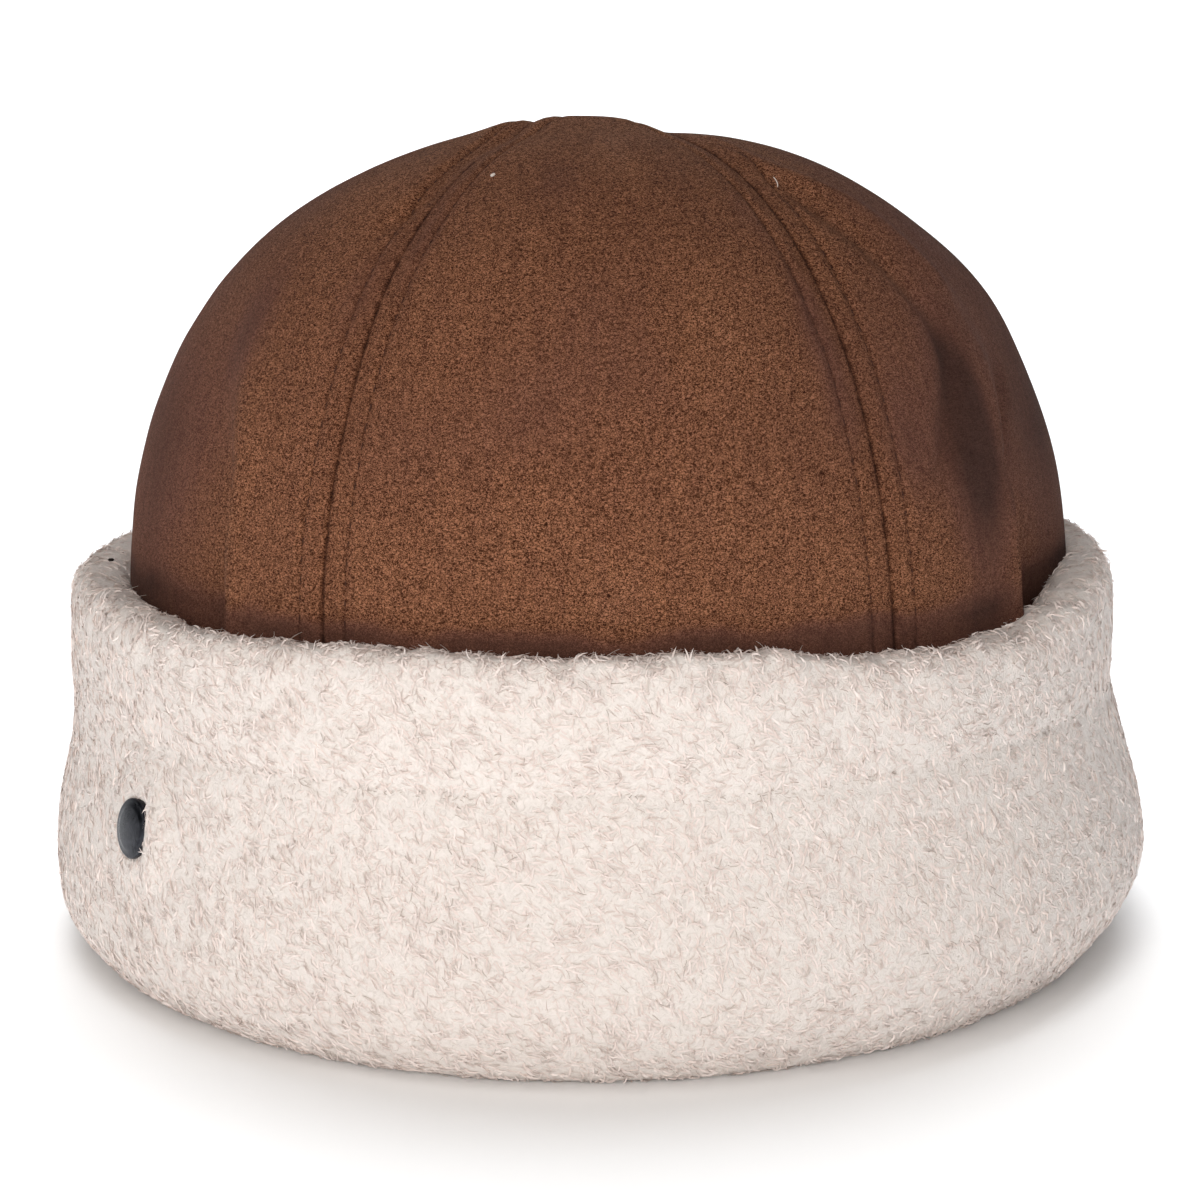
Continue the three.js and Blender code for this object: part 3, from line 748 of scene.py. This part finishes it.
def topstitch_row(gore, from_start):
    """The stitches of one row, beside one edge of a gore."""
    climbs, lengths, heights = crown_profile()
    half_panel = 0.5 * np.radians(gore["to"] - gore["from"]) * crown_radius(gore, climbs)
    least = TOPSTITCH["least_half_panel"] + TOPSTITCH["ends_before"]
    shown = (heights > TOPSTITCH["from_height"]) & (half_panel > least)
    first, last = lengths[shown][0], lengths[shown][-1]
    pitch = TOPSTITCH["stitch"] + TOPSTITCH["gap"]
    random = np.random.default_rng(SEEDS["stitch"] + int(gore["from"]) + 7 * from_start)
    radii = TOPSTITCH["thread"] * np.array(TOPSTITCH["swells"])
    uneven_start, uneven_turn = TOPSTITCH["uneven_start"], TOPSTITCH["uneven_turn"]
    parts = []
    for start in np.arange(first, last - pitch, pitch):
        along = start + np.linspace(0, TOPSTITCH["stitch"], len(radii))
        along = along + random.uniform(-uneven_start, uneven_start)
        climb = np.interp(along, lengths, climbs)
        turn = np.degrees(TOPSTITCH["offset"] / crown_radius(gore, climb))
        turn = turn + random.uniform(-uneven_turn, uneven_turn)
        azimuth = gore["from"] + turn if from_start else gore["to"] - turn
        path = crown_place(gore, azimuth, climb, np.array(TOPSTITCH["sinks"]))
        parts.append(tube(path, radii, UPWARD, 6))
    return parts


def crown_spot(azimuth, height, lift):
    """A point over the crown at an azimuth and a height."""
    climbs, _, heights = crown_profile()
    climb = np.interp(height, np.maximum.accumulate(heights), climbs)
    for gore in GORES:
        for turned in (azimuth % 360, azimuth % 360 - 360):
            if gore["from"] <= turned <= gore["to"]:
                return crown_place(gore, np.array([turned]), np.array([climb]), lift)[0]
    raise ValueError("no panel at this azimuth")


def add_topstitching(thread):
    parts = []
    for gore in GORES:
        parts += topstitch_row(gore, True)
        parts += topstitch_row(gore, False)
    points, quads = join(parts)
    piece = add_mesh("crown_topstitching", points, quads, [thread])
    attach(piece, "root")


# Cuff


def rim_sag(azimuth):
    """Sag of the soft rim, smooth between the rows of its table."""
    azimuths, sags = np.array(RIM_SAGS).T
    around = wrapped(azimuth)
    place = np.clip(np.searchsorted(azimuths, around), 1, len(azimuths) - 1)
    share = smoothstep(around, azimuths[place - 1], azimuths[place])
    return sags[place - 1] + (sags[place] - sags[place - 1]) * share


def sagged(azimuth, height):
    hem = CUFF["rim_top"] - CUFF["hem_stitching"]
    share = np.clip((height - CUFF["hem_stitching"]) / hem, 0, 1)
    return height - rim_sag(azimuth) * share ** CUFF["sag_power"]


def leg_face(inset, height):
    """A row of the inner leg, which follows the inside of the crown's wall."""
    climb = (height - CROWN["bottom"]) / (CROWN["shoulder"] - CROWN["bottom"])
    climb = min(max(climb, 0), 1)
    side = crown_form(90, climb)[0] - CROWN["centre_x"] - inset
    front = -crown_form(0, climb)[1] - inset
    return (side, front, CROWN["centre_x"], height)


def cuff_outline():
    """Closed section of the cuff as rows of half width, half depth, lean and height."""
    outer = [(width, depth, lean, height) for height, width, depth, lean, _ in CUFF_ROWS]
    rim = []
    for cell in range(1, CUFF["rim_cells"]):
        turn = math.pi * cell / CUFF["rim_cells"]
        inset = 0.5 * TOP_PLY * (1 - math.cos(turn))
        lift = (CUFF["rim_top"] - TOP_HEIGHT) * math.sin(turn)
        rim.append((TOP_WIDTH - inset, TOP_DEPTH - inset, TOP_LEAN, TOP_HEIGHT + lift))
    inner = [
        (width - ply, depth - ply, lean, height)
        for height, width, depth, lean, ply in reversed(CUFF_ROWS)
        if height > CUFF["fold_thickness"]
    ]
    _, low_width, low_depth, low_lean, low_ply = CUFF_ROWS[0]
    channel = low_ply - CUFF["channel_undercut"]
    outside = CROWN["wall"] + CUFF["inner_leg_clearance"]
    inside = outside + CUFF["inner_leg_thickness"]
    leg_round = CUFF["inner_leg_round"]
    leg_top = CUFF["inner_leg_top"]
    return [
        (*CUFF["foot_outer"], 0),
        *outer,
        *rim,
        *inner,
        (low_width - channel, low_depth - channel, low_lean, CUFF["fold_thickness"]),
        leg_face(outside, CUFF["fold_thickness"]),
        leg_face(outside, 0.5 * (CUFF["fold_thickness"] + leg_top)),
        leg_face(outside, leg_top - leg_round),
        leg_face(outside + leg_round, leg_top),
        leg_face(inside - leg_round, leg_top),
        leg_face(inside, leg_top - leg_round),
        leg_face(inside, CUFF["inner_leg_heel"]),
        (*CUFF["foot_inner"], CROWN["centre_x"], 0),
    ]


def even_section():
    """The section in many even steps, with its corners rounded."""
    outline = np.array(cuff_outline(), dtype=float)
    closed = np.concatenate([outline, outline[:1]])
    steps = np.hypot(np.diff(closed[:, 0]), np.diff(closed[:, 3]))
    lengths = np.concatenate([[0], np.cumsum(steps)])
    even = np.linspace(0, lengths[-1], SKIN["rows"], endpoint=False)
    section = np.stack([np.interp(even, lengths, closed[:, i]) for i in range(4)], axis=-1)
    for _ in range(SKIN["smoothing"]):
        section = 0.5 * section + 0.25 * (np.roll(section, 1, axis=0) + np.roll(section, -1, axis=0))
    return section


def ring_points(section, azimuth):
    """Points of the section swept round, a row for each step of it and a column for each azimuth."""
    width, depth, lean, height = section.T[:, :, None]
    angle = np.radians(azimuth)[None, :]
    x = lean + width * np.sin(angle)
    y = -depth * np.cos(angle)
    z = sagged(azimuth[None, :], height)
    return np.stack([x, y, z], axis=-1)


def ring_normals(points):
    along = np.roll(points, -1, axis=1) - np.roll(points, 1, axis=1)
    upward = np.roll(points, -1, axis=0) - np.roll(points, 1, axis=0)
    return unit(np.cross(along, upward))


def on_outer_face(section):
    """How far each step of the section counts as the outer face or the rim, from 0 to 1."""
    width, height = section[:, 0], section[:, 3]
    low, high = SKIN["outer_over"]
    outer = smoothstep(width, TOP_WIDTH + low, TOP_WIDTH + high)
    return np.maximum(outer, smoothstep(height, TOP_HEIGHT - SKIN["rim_over"], TOP_HEIGHT))


def on_inner_hem(section):
    """How far each step counts as the side of the hem that faces the crown, from 0 to 1."""
    width, height = section[:, 0], section[:, 3]
    low, high = SKIN["inner_over"]
    inner = smoothstep(width, TOP_WIDTH - low * TOP_PLY, TOP_WIDTH - high * TOP_PLY)
    stitching = CUFF["hem_stitching"]
    return inner * smoothstep(height, stitching, stitching + SKIN["inner_above_hem"])


def by_rim(height, reach):
    """How near a height is to the rim's top, over a low and a high distance below it."""
    return smoothstep(height, CUFF["rim_top"] - reach[0], CUFF["rim_top"] - reach[1])


def near_badge(points):
    """How near points are to the badge: a ring round it, the pile it presses, and its front side."""
    centre, side, _, outward = badge_frame()
    offset = points - centre
    flat = offset - outward * np.sum(offset * outward, axis=-1, keepdims=True)
    across = np.linalg.norm(offset, axis=-1)
    reach = np.linalg.norm(flat, axis=-1)
    radius = 0.5 * BADGE["diameter"]
    close = across < 3 * radius
    (inner, outer), (low, high) = BADGE["cleared_over"], BADGE["pressed_over"]
    ring = (1 - smoothstep(reach, radius + inner, radius + outer)) * close
    under = (1 - smoothstep(reach, radius - low, radius - high)) * close
    ahead = np.sum(flat * side, axis=-1)
    front = smoothstep(ahead, BADGE["front_from"] * radius, radius) * ring * (1 - under)
    return ring, under, front


def beside(points):
    """How far points are at the left or right side of the cuff, from 0 to 1."""
    share = np.abs(points[..., 0]) / np.linalg.norm(points[..., :2], axis=-1)
    return smoothstep(share, *BESIDE)


def side_bulge(points):
    """How far the sides of the cuff bulge out."""
    total = np.zeros(points.shape[:-1])
    for height, reach, left, right in BULGES:
        bulge = np.where(points[..., 0] < 0, left, right)
        total = total + bulge * bell((points[..., 2] - height) / reach)
    return total * beside(points)


def above_hem(points, height):
    """How far above the wavering line of the hem's stitching points are."""
    waver = soft_noise(points, HEM_LINE["waver_cell"], SEEDS["lump"] + 9)
    return height - CUFF["hem_stitching"] - HEM_LINE["waver"] * waver


def cuff_skin():
    """Points and normals of the ground that the pile stands on."""
    section = even_section()
    azimuth = np.linspace(-180, 180, SKIN["columns"], endpoint=False)
    smooth_points = ring_points(section, azimuth)
    normals = ring_normals(smooth_points)
    seen = on_outer_face(section)[:, None]
    height = section[:, 3][:, None]
    at_rim = by_rim(height, SKIN["rim_lumps_over"])
    lumps = layered_noise(smooth_points, LUMPS, SEEDS["lump"])
    lumps = lumps + at_rim * layered_noise(smooth_points, RIM_LUMPS, SEEDS["lump"] + 5)
    from_hem = above_hem(smooth_points, height) / HEM_DENT["width"]
    dent = HEM_DENT["depth"] * bell(from_hem)
    around = np.radians(azimuth)[None, :] * 0.5 * (CUFF_ROWS[0][1] + CUFF_ROWS[0][2])
    dimple = 0.5 + 0.5 * np.cos(2 * np.pi * around / HEM_DENT["dimple_every"])
    dent = dent + HEM_DENT["dimple_depth"] * dimple**2 * bell(from_hem)
    dent = dent * (1 - beside(smooth_points))
    ring, under, front = near_badge(smooth_points)
    inset = SKIN["inset"] * (1 - ring) + BADGE["pressed"] * under - BADGE["pile_over"] * front
    outward = seen * (lumps * (1 - ring) - inset - dent + side_bulge(smooth_points))
    resting = smoothstep(smooth_points[..., 2], 0, SKIN["rests_over"])
    points = smooth_points + normals * (outward * resting)[..., None]
    inward = SKIN["inner_swell"] * on_inner_hem(section)[:, None, None]
    points = points + normals * inward * np.array([1, 1, 0])
    return section, points, ring_normals(points)


def add_cuff(points, ground):
    quads = ring_quads(*points.shape[:2], closed=True)
    piece = add_mesh("pile_ground", points.reshape(-1, 3), quads, [ground])
    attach(piece, "root")
    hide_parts("cuff")


def between(grid, row, column):
    """Values between the points of a grid that goes round both ways."""
    rows, columns = grid.shape[:2]
    low_row = np.floor(row).astype(int)
    low_column = np.floor(column).astype(int)
    row_share = (row - low_row)[:, None]
    column_share = (column - low_column)[:, None]
    below, above = low_row % rows, (low_row + 1) % rows
    left, right = low_column % columns, (low_column + 1) % columns
    bottom = grid[below, left] * (1 - column_share) + grid[below, right] * column_share
    top = grid[above, left] * (1 - column_share) + grid[above, right] * column_share
    return bottom * (1 - row_share) + top * row_share


def strand_density(section):
    """How thickly strands grow on each step of the section."""
    width, height = section[:, 0], section[:, 3]
    outside = width > TOP_WIDTH - 0.5 * TOP_PLY
    on_leg = (width < CUFF["foot_outer"][0]) & (height < CUFF["inner_leg_top"] + 1)
    leg_middle = leg_face(CROWN["wall"] + CUFF["inner_leg_clearance"] + 1, height.mean())[0]
    hidden = on_leg & ((width < leg_middle) | (height < CUFF["inner_leg_heel"]))
    hem_inside = ~outside & (height > CUFF["hem_stitching"]) & ~on_leg
    density = np.where(outside, 1.0, 0.0)
    density = np.where(hem_inside, smoothstep(height, *PILE["hem_inside_over"]), density)
    return np.where(hidden, PILE["hidden_share"], density)


def tuft_height(points):
    """How far the curly tufts of the pile stand up over its ground."""
    at_rim = by_rim(points[..., 2], PILE["tufts_over"])
    flatter = 1 - PILE["flatter_beside"] * beside(points) + PILE["rim_tufts"] * at_rim
    return layered_noise(points, PILE["tufts"], SEEDS["tuft"]) * flatter


def strands(section, points, normals):
    """All strands of the pile as points, texture places and the faces of one strand."""
    random = np.random.default_rng(SEEDS["pile"])
    rows, columns = points.shape[:2]
    count = PILE["count"]
    weight = strand_density(section)
    row = random.choice(rows, count, p=weight / weight.sum()) + random.uniform(-0.5, 0.5, count)
    column = random.uniform(0, columns, count)
    root = between(points, row, column)
    normal = unit(between(normals, row, column))
    side = unit(np.cross(UPWARD, normal) + np.array([1e-4, 0, 0]))
    upward = np.cross(normal, side)
    near_rim = by_rim(root[:, 2], PILE["rim_over"])
    in_front = 1 - beside(root)
    from_hem = above_hem(root, root[:, 2])
    tone = random.uniform(0, 1, count)
    on_hem = np.abs(from_hem) < HEM_LINE["half_width"]
    on_hem = on_hem & (random.uniform(0, 1, count) < HEM_LINE["share"] * in_front)
    # Painted shade: most strands on the hem's stitching line take the dark tones.
    tone = np.where(on_hem, tone * PILE["shade_strand_share"], tone)
    # Painted shadow: the strands with the lowest tones are the dark, narrower ones that stand for the
    # shade between tufts.
    dark = tone < PILE["shade_strand_share"]
    swirl = soft_noise(root, PILE["swirl_cell"], SEEDS["swirl"])
    heading = PILE["slant"] + PILE["swirl"] * swirl + random.normal(0, PILE["scatter"], count)
    heading = heading + np.pi * (random.uniform(0, 1, count) < PILE["backwards"])
    heading = np.where(on_hem, random.normal(0, HEM_LINE["scatter"], count), heading)
    turn = random.uniform(-1, 1, count) * PILE["turn"] * (1 + PILE["rim_turn"] * near_rim)
    length = random.uniform(*PILE["length"], count)
    by_hem = bell(from_hem / PILE["hem_band"]) * in_front
    length = length * (1 - PILE["hem_shorter"] * by_hem)
    width = random.uniform(*PILE["width"], count) * np.where(dark, PILE["shade_strand_narrower"], 1)
    rise = random.uniform(*PILE["rise"], count) * (1 + PILE["rim_rise"] * near_rim)
    rise = rise * (1 - PILE["flatter_beside"] * beside(root))
    spots = [root + normal * (tuft_height(root) - PILE["sunk"])[:, None]]
    headings = []
    shares = (0, 1 / 3, 2 / 3, 1)
    ground = root
    for step in range(3):
        angle = heading + turn * (shares[step] + 1 / 6)
        ahead = side * np.cos(angle)[:, None] + upward * np.sin(angle)[:, None]
        headings.append(ahead)
        ground = ground + ahead * (length / 3)[:, None]
        lift = rise * math.sin(math.pi * shares[step + 1] * PILE["arch"]) + tuft_height(ground)
        spots.append(ground + normal * lift[:, None])
    tilt = random.normal(0, PILE["tilt"], count)[:, None]
    corners = []
    for place, broad in enumerate(PILE["shape"]):
        across = np.cross(normal, headings[place]) * np.cos(tilt) + normal * np.sin(tilt)
        half = across * (0.5 * width * broad)[:, None]
        corners += [spots[place] - half, spots[place] + half]
    corners.append(spots[3])
    corners = np.stack(corners, axis=1)
    below = np.minimum(corners[..., 2] - PILE["floor_gap"], 0)
    corners[..., 2] -= below * (1 - PILE["floor_give"])
    places = np.empty((count, 7, 2))
    places[..., 0] = tone[:, None]
    places[..., 1] = np.array([0, 0, 1 / 3, 1 / 3, 2 / 3, 2 / 3, 1])
    pattern = np.array([[0, 3, 1], [0, 2, 3], [2, 5, 3], [2, 4, 5], [4, 6, 5]])
    return corners, places, pattern


def add_pile(section, points, normals, material):
    all_points, places, pattern = strands(section, points, normals)
    for number, chosen in enumerate(np.array_split(np.arange(len(all_points)), PILE["pieces"])):
        starts = np.arange(len(chosen)) * all_points.shape[1]
        faces = (starts[:, None, None] + pattern[None]).reshape(-1, 3)
        maps = {"UVMap": places[chosen].reshape(-1, 2)}
        name = f"pile_strands_{number + 1}"
        piece = add_mesh(name, all_points[chosen].reshape(-1, 3), faces, [material], maps)
        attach(piece, "root")


def add_rim_fibres(points, normals, material):
    """Fine loose fibres that stand off the rim."""
    random = np.random.default_rng(SEEDS["loose"])
    at_rim = np.argwhere(points[..., 2] > CUFF["rim_top"] - RIM_FIBRES["within"])
    steps = np.linspace(0, 1, 6)
    radii = RIM_FIBRES["thickness"] * (1 - RIM_FIBRES["taper"] * steps)
    parts = []
    for row, column in random.choice(at_rim, RIM_FIBRES["count"], replace=False):
        normal = normals[row, column]
        aside = unit(np.cross(normal, random.normal(0, 1, 3)))
        length = random.uniform(*RIM_FIBRES["length"])
        bend = random.uniform(-1, 1) * RIM_FIBRES["curl"] * length
        along = aside * random.uniform(*RIM_FIBRES["aside"])
        along = along + normal * random.uniform(*RIM_FIBRES["off"])
        path = points[row, column] + steps[:, None] * (along * length)
        path = path + np.cross(aside, normal) * (bend * steps**2)[:, None]
        parts.append(tube(path, radii, normal, 4))
    fibre_points, quads = join(parts)
    piece = add_mesh("loose_rim_fibres", fibre_points, quads, [material])
    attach(piece, "root")


def add_speck(points, dark):
    """A speck of dirt on the point of the rim's top that is nearest to its place."""
    away = np.linalg.norm(points[..., :2] - np.array(SPECK["over"]), axis=-1)
    high = points[..., 2] > CUFF["rim_top"] - SPECK["within"]
    nearest = np.argmin(np.where(high, away, np.inf))
    spot = points.reshape(-1, 3)[nearest] + np.array(SPECK["lift"])
    along = np.array(SPECK["lies"]) * SPECK["length"]
    radii = SPECK["thickness"] * np.array(SPECK["swells"])
    path = spot + np.linspace(-0.5, 0.5, len(radii))[:, None] * along
    points, quads = tube(path, radii, UPWARD, 8)
    piece = add_mesh("dark_speck", points, quads, [dark])
    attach(piece, "root")


def add_hairs(pale):
    """A bit of lint and a fine curved hair on the crown."""
    steps = np.linspace(-0.5, 0.5, 9)
    parts = []
    for hair in HAIRS:
        bend = hair["bend"] * (0.25 - steps**2) * 4
        aside = (steps * hair["across"] + bend) / HAIR["crown_radius"]
        turns = hair["azimuth"] + np.degrees(aside)
        heights = hair["height"] + steps * hair["up"]
        lift = np.array([HAIR["lift"]])
        path = np.array([crown_spot(turn, height, lift) for turn, height in zip(turns, heights)])
        radii = hair["thickness"] * (1 - HAIR["taper"] * steps**2)
        parts.append(tube(path, radii, np.array([0.0, 1.0, 0.0]), 6))
    points, quads = join(parts)
    piece = add_mesh("lint_and_hairs", points, quads, [pale])
    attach(piece, "root")


# Badge


def badge_frame():
    """Centre, side, up and outward directions of the badge on the cuff's outer face."""
    heights, widths, depths, leans, _ = np.array(CUFF_ROWS).T

    def face_point(angle, height):
        lean = np.interp(height, heights, leans)
        x = lean + np.interp(height, heights, widths) * math.sin(angle)
        y = -np.interp(height, heights, depths) * math.cos(angle)
        return np.array([x, y, height])

    angle = math.radians(BADGE["azimuth"])
    turn, rise = 0.05, 4
    centre = face_point(angle, BADGE["height"])
    side = unit(face_point(angle + turn, BADGE["height"]) - face_point(angle - turn, BADGE["height"]))
    climb = face_point(angle, BADGE["height"] + rise) - face_point(angle, BADGE["height"] - rise)
    outward = unit(np.cross(side, climb))
    return centre, side, np.cross(outward, side), outward


def badge_profile():
    """Radius and height of the badge from its post to the middle of its face."""
    radius = BADGE["diameter"] / 2
    back = -BADGE["sunk"]
    face = back + BADGE["thickness"]
    rounding = BADGE["edge_round"]
    profile = [
        (0, back - BADGE["post_length"]),
        (BADGE["post_diameter"] / 2, back - BADGE["post_length"]),
        (BADGE["post_diameter"] / 2, back),
        (radius, back),
    ]
    for turn in np.linspace(0, math.pi / 2, 6):
        out, up = math.cos(turn), math.sin(turn)
        profile.append((radius - rounding * (1 - out), face - rounding * (1 - up)))
    inner = radius - rounding - BADGE["rim_width"]
    groove = BADGE["rim_groove"]
    for share in np.linspace(0, 1, 14):
        place = inner * (1 - share)
        edge = groove * smoothstep(share, 0.1, 0.0)
        profile.append((place, face - edge + BADGE["dome"] * (1 - (place / radius) ** 2)))
    return np.array(profile)


def add_badge(metal):
    centre, side, up, outward = badge_frame()
    profile = badge_profile()
    turn = np.arange(BADGE["sides"]) * 2 * math.pi / BADGE["sides"]
    ring = side[None] * np.cos(turn)[:, None] + up[None] * np.sin(turn)[:, None]
    radius = np.maximum(profile[:, 0], 0.01)
    points = centre + ring[None] * radius[:, None, None] + outward * profile[:, 1][:, None, None]
    quads = ring_quads(len(profile), BADGE["sides"])
    piece = add_mesh("plain_badge", points.reshape(-1, 3), quads, [metal])
    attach(piece, "root")
    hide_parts("badge")


# Stage


def add_floor():
    """A floor that sweeps up behind the cap into a plain pale wall."""
    reach, back, bend, top = 6000, 2600, 700, 3600
    line = [(-reach, 0), (back - bend, 0)]
    for turn in np.linspace(0, math.pi / 2, 14)[1:]:
        line.append((back - bend + bend * math.sin(turn), bend - bend * math.cos(turn)))
    line.append((back, top))
    points = np.array([(x, y, z) for y, z in line for x in (-reach, reach)], dtype=float)
    index = np.arange(len(points)).reshape(-1, 2)
    quads = np.stack([index[:-1, 0], index[:-1, 1], index[1:, 1], index[1:, 0]], axis=-1)
    floor = add_mesh("floor", points, quads, [floor_material()])
    return floor


def add_aimed(name, data, location, ahead, roll=0):
    """Puts a light or a camera in its place, looking ahead."""
    thing = bpy.data.objects.new(name, data)
    thing.location = location
    thing.rotation_mode = "QUATERNION"
    rolled = Quaternion((0, 0, 1), math.radians(roll))
    thing.rotation_quaternion = ahead.to_track_quat("-Z", "Y") @ rolled
    bpy.context.scene.collection.objects.link(thing)
    return thing


def add_area_light(name, location, target, size, power, colour):
    data = bpy.data.lights.new(name, "AREA")
    data.shape = "DISK"
    data.size = size
    data.energy = power
    data.color = colour
    return add_aimed(name, data, location, Vector(target) - Vector(location))


def add_floor_light(floor):
    """A wide light overhead that only the floor takes, so that it stays pale round the cap."""
    light = add_area_light("floor_light", (0, 1.6, 2.3), (0, 1.4, 0), 3.0, 100, (0.97, 0.985, 1.0))
    receivers = bpy.data.collections.new("lit_by_floor_light")
    receivers.objects.link(floor)
    light.light_linking.receiver_collection = receivers


def add_lights():
    for name, location, power in SOFT_LIGHTS:
        add_area_light(name, location, CAMERA["target"], 1.1, power, (1.0, 0.955, 0.905))
    world = bpy.data.worlds.new("studio")
    world.use_nodes = True
    background = world.node_tree.nodes["Background"]
    background.inputs["Color"].default_value = (0.93, 0.965, 1.02, 1)
    background.inputs["Strength"].default_value = 0.11
    bpy.context.scene.world = world
    bpy.context.scene.view_settings.view_transform = "Standard"


def add_camera():
    elevation = math.radians(CAMERA["elevation"])
    back = Vector((0, -math.cos(elevation), math.sin(elevation)))
    data = bpy.data.cameras.new("camera")
    data.sensor_width = CAMERA["sensor"]
    data.lens = CAMERA["lens"]
    data.shift_x = CAMERA["shift_x"]
    data.shift_y = CAMERA["shift_y"]
    data.clip_start, data.clip_end = CAMERA["clip"]
    location = Vector(CAMERA["target"]) + back * CAMERA["distance"]
    bpy.context.scene.camera = add_aimed("camera", data, location, -back, CAMERA["roll"])


def build():
    suede = suede_material()
    backing = backing_material()
    for gore in GORES:
        add_gore(gore, suede, backing)
    add_topstitching(thread_material())
    section, skin_points, skin_normals = cuff_skin()
    add_cuff(skin_points, skin_material())
    fleece = strand_material()
    add_pile(section, skin_points, skin_normals, fleece)
    pale_fibre = lint_material("pale_fibre", (214, 200, 190), (244, 236, 229))
    add_rim_fibres(skin_points, skin_normals, pale_fibre)
    dark_fibre = lint_material("dark_dirt", (22, 19, 18), (52, 46, 43))
    add_speck(skin_points, dark_fibre)
    add_hairs(pale_fibre)
    add_badge(metal_material())
    add_floor_light(add_floor())
    add_lights()
    add_camera()


build()
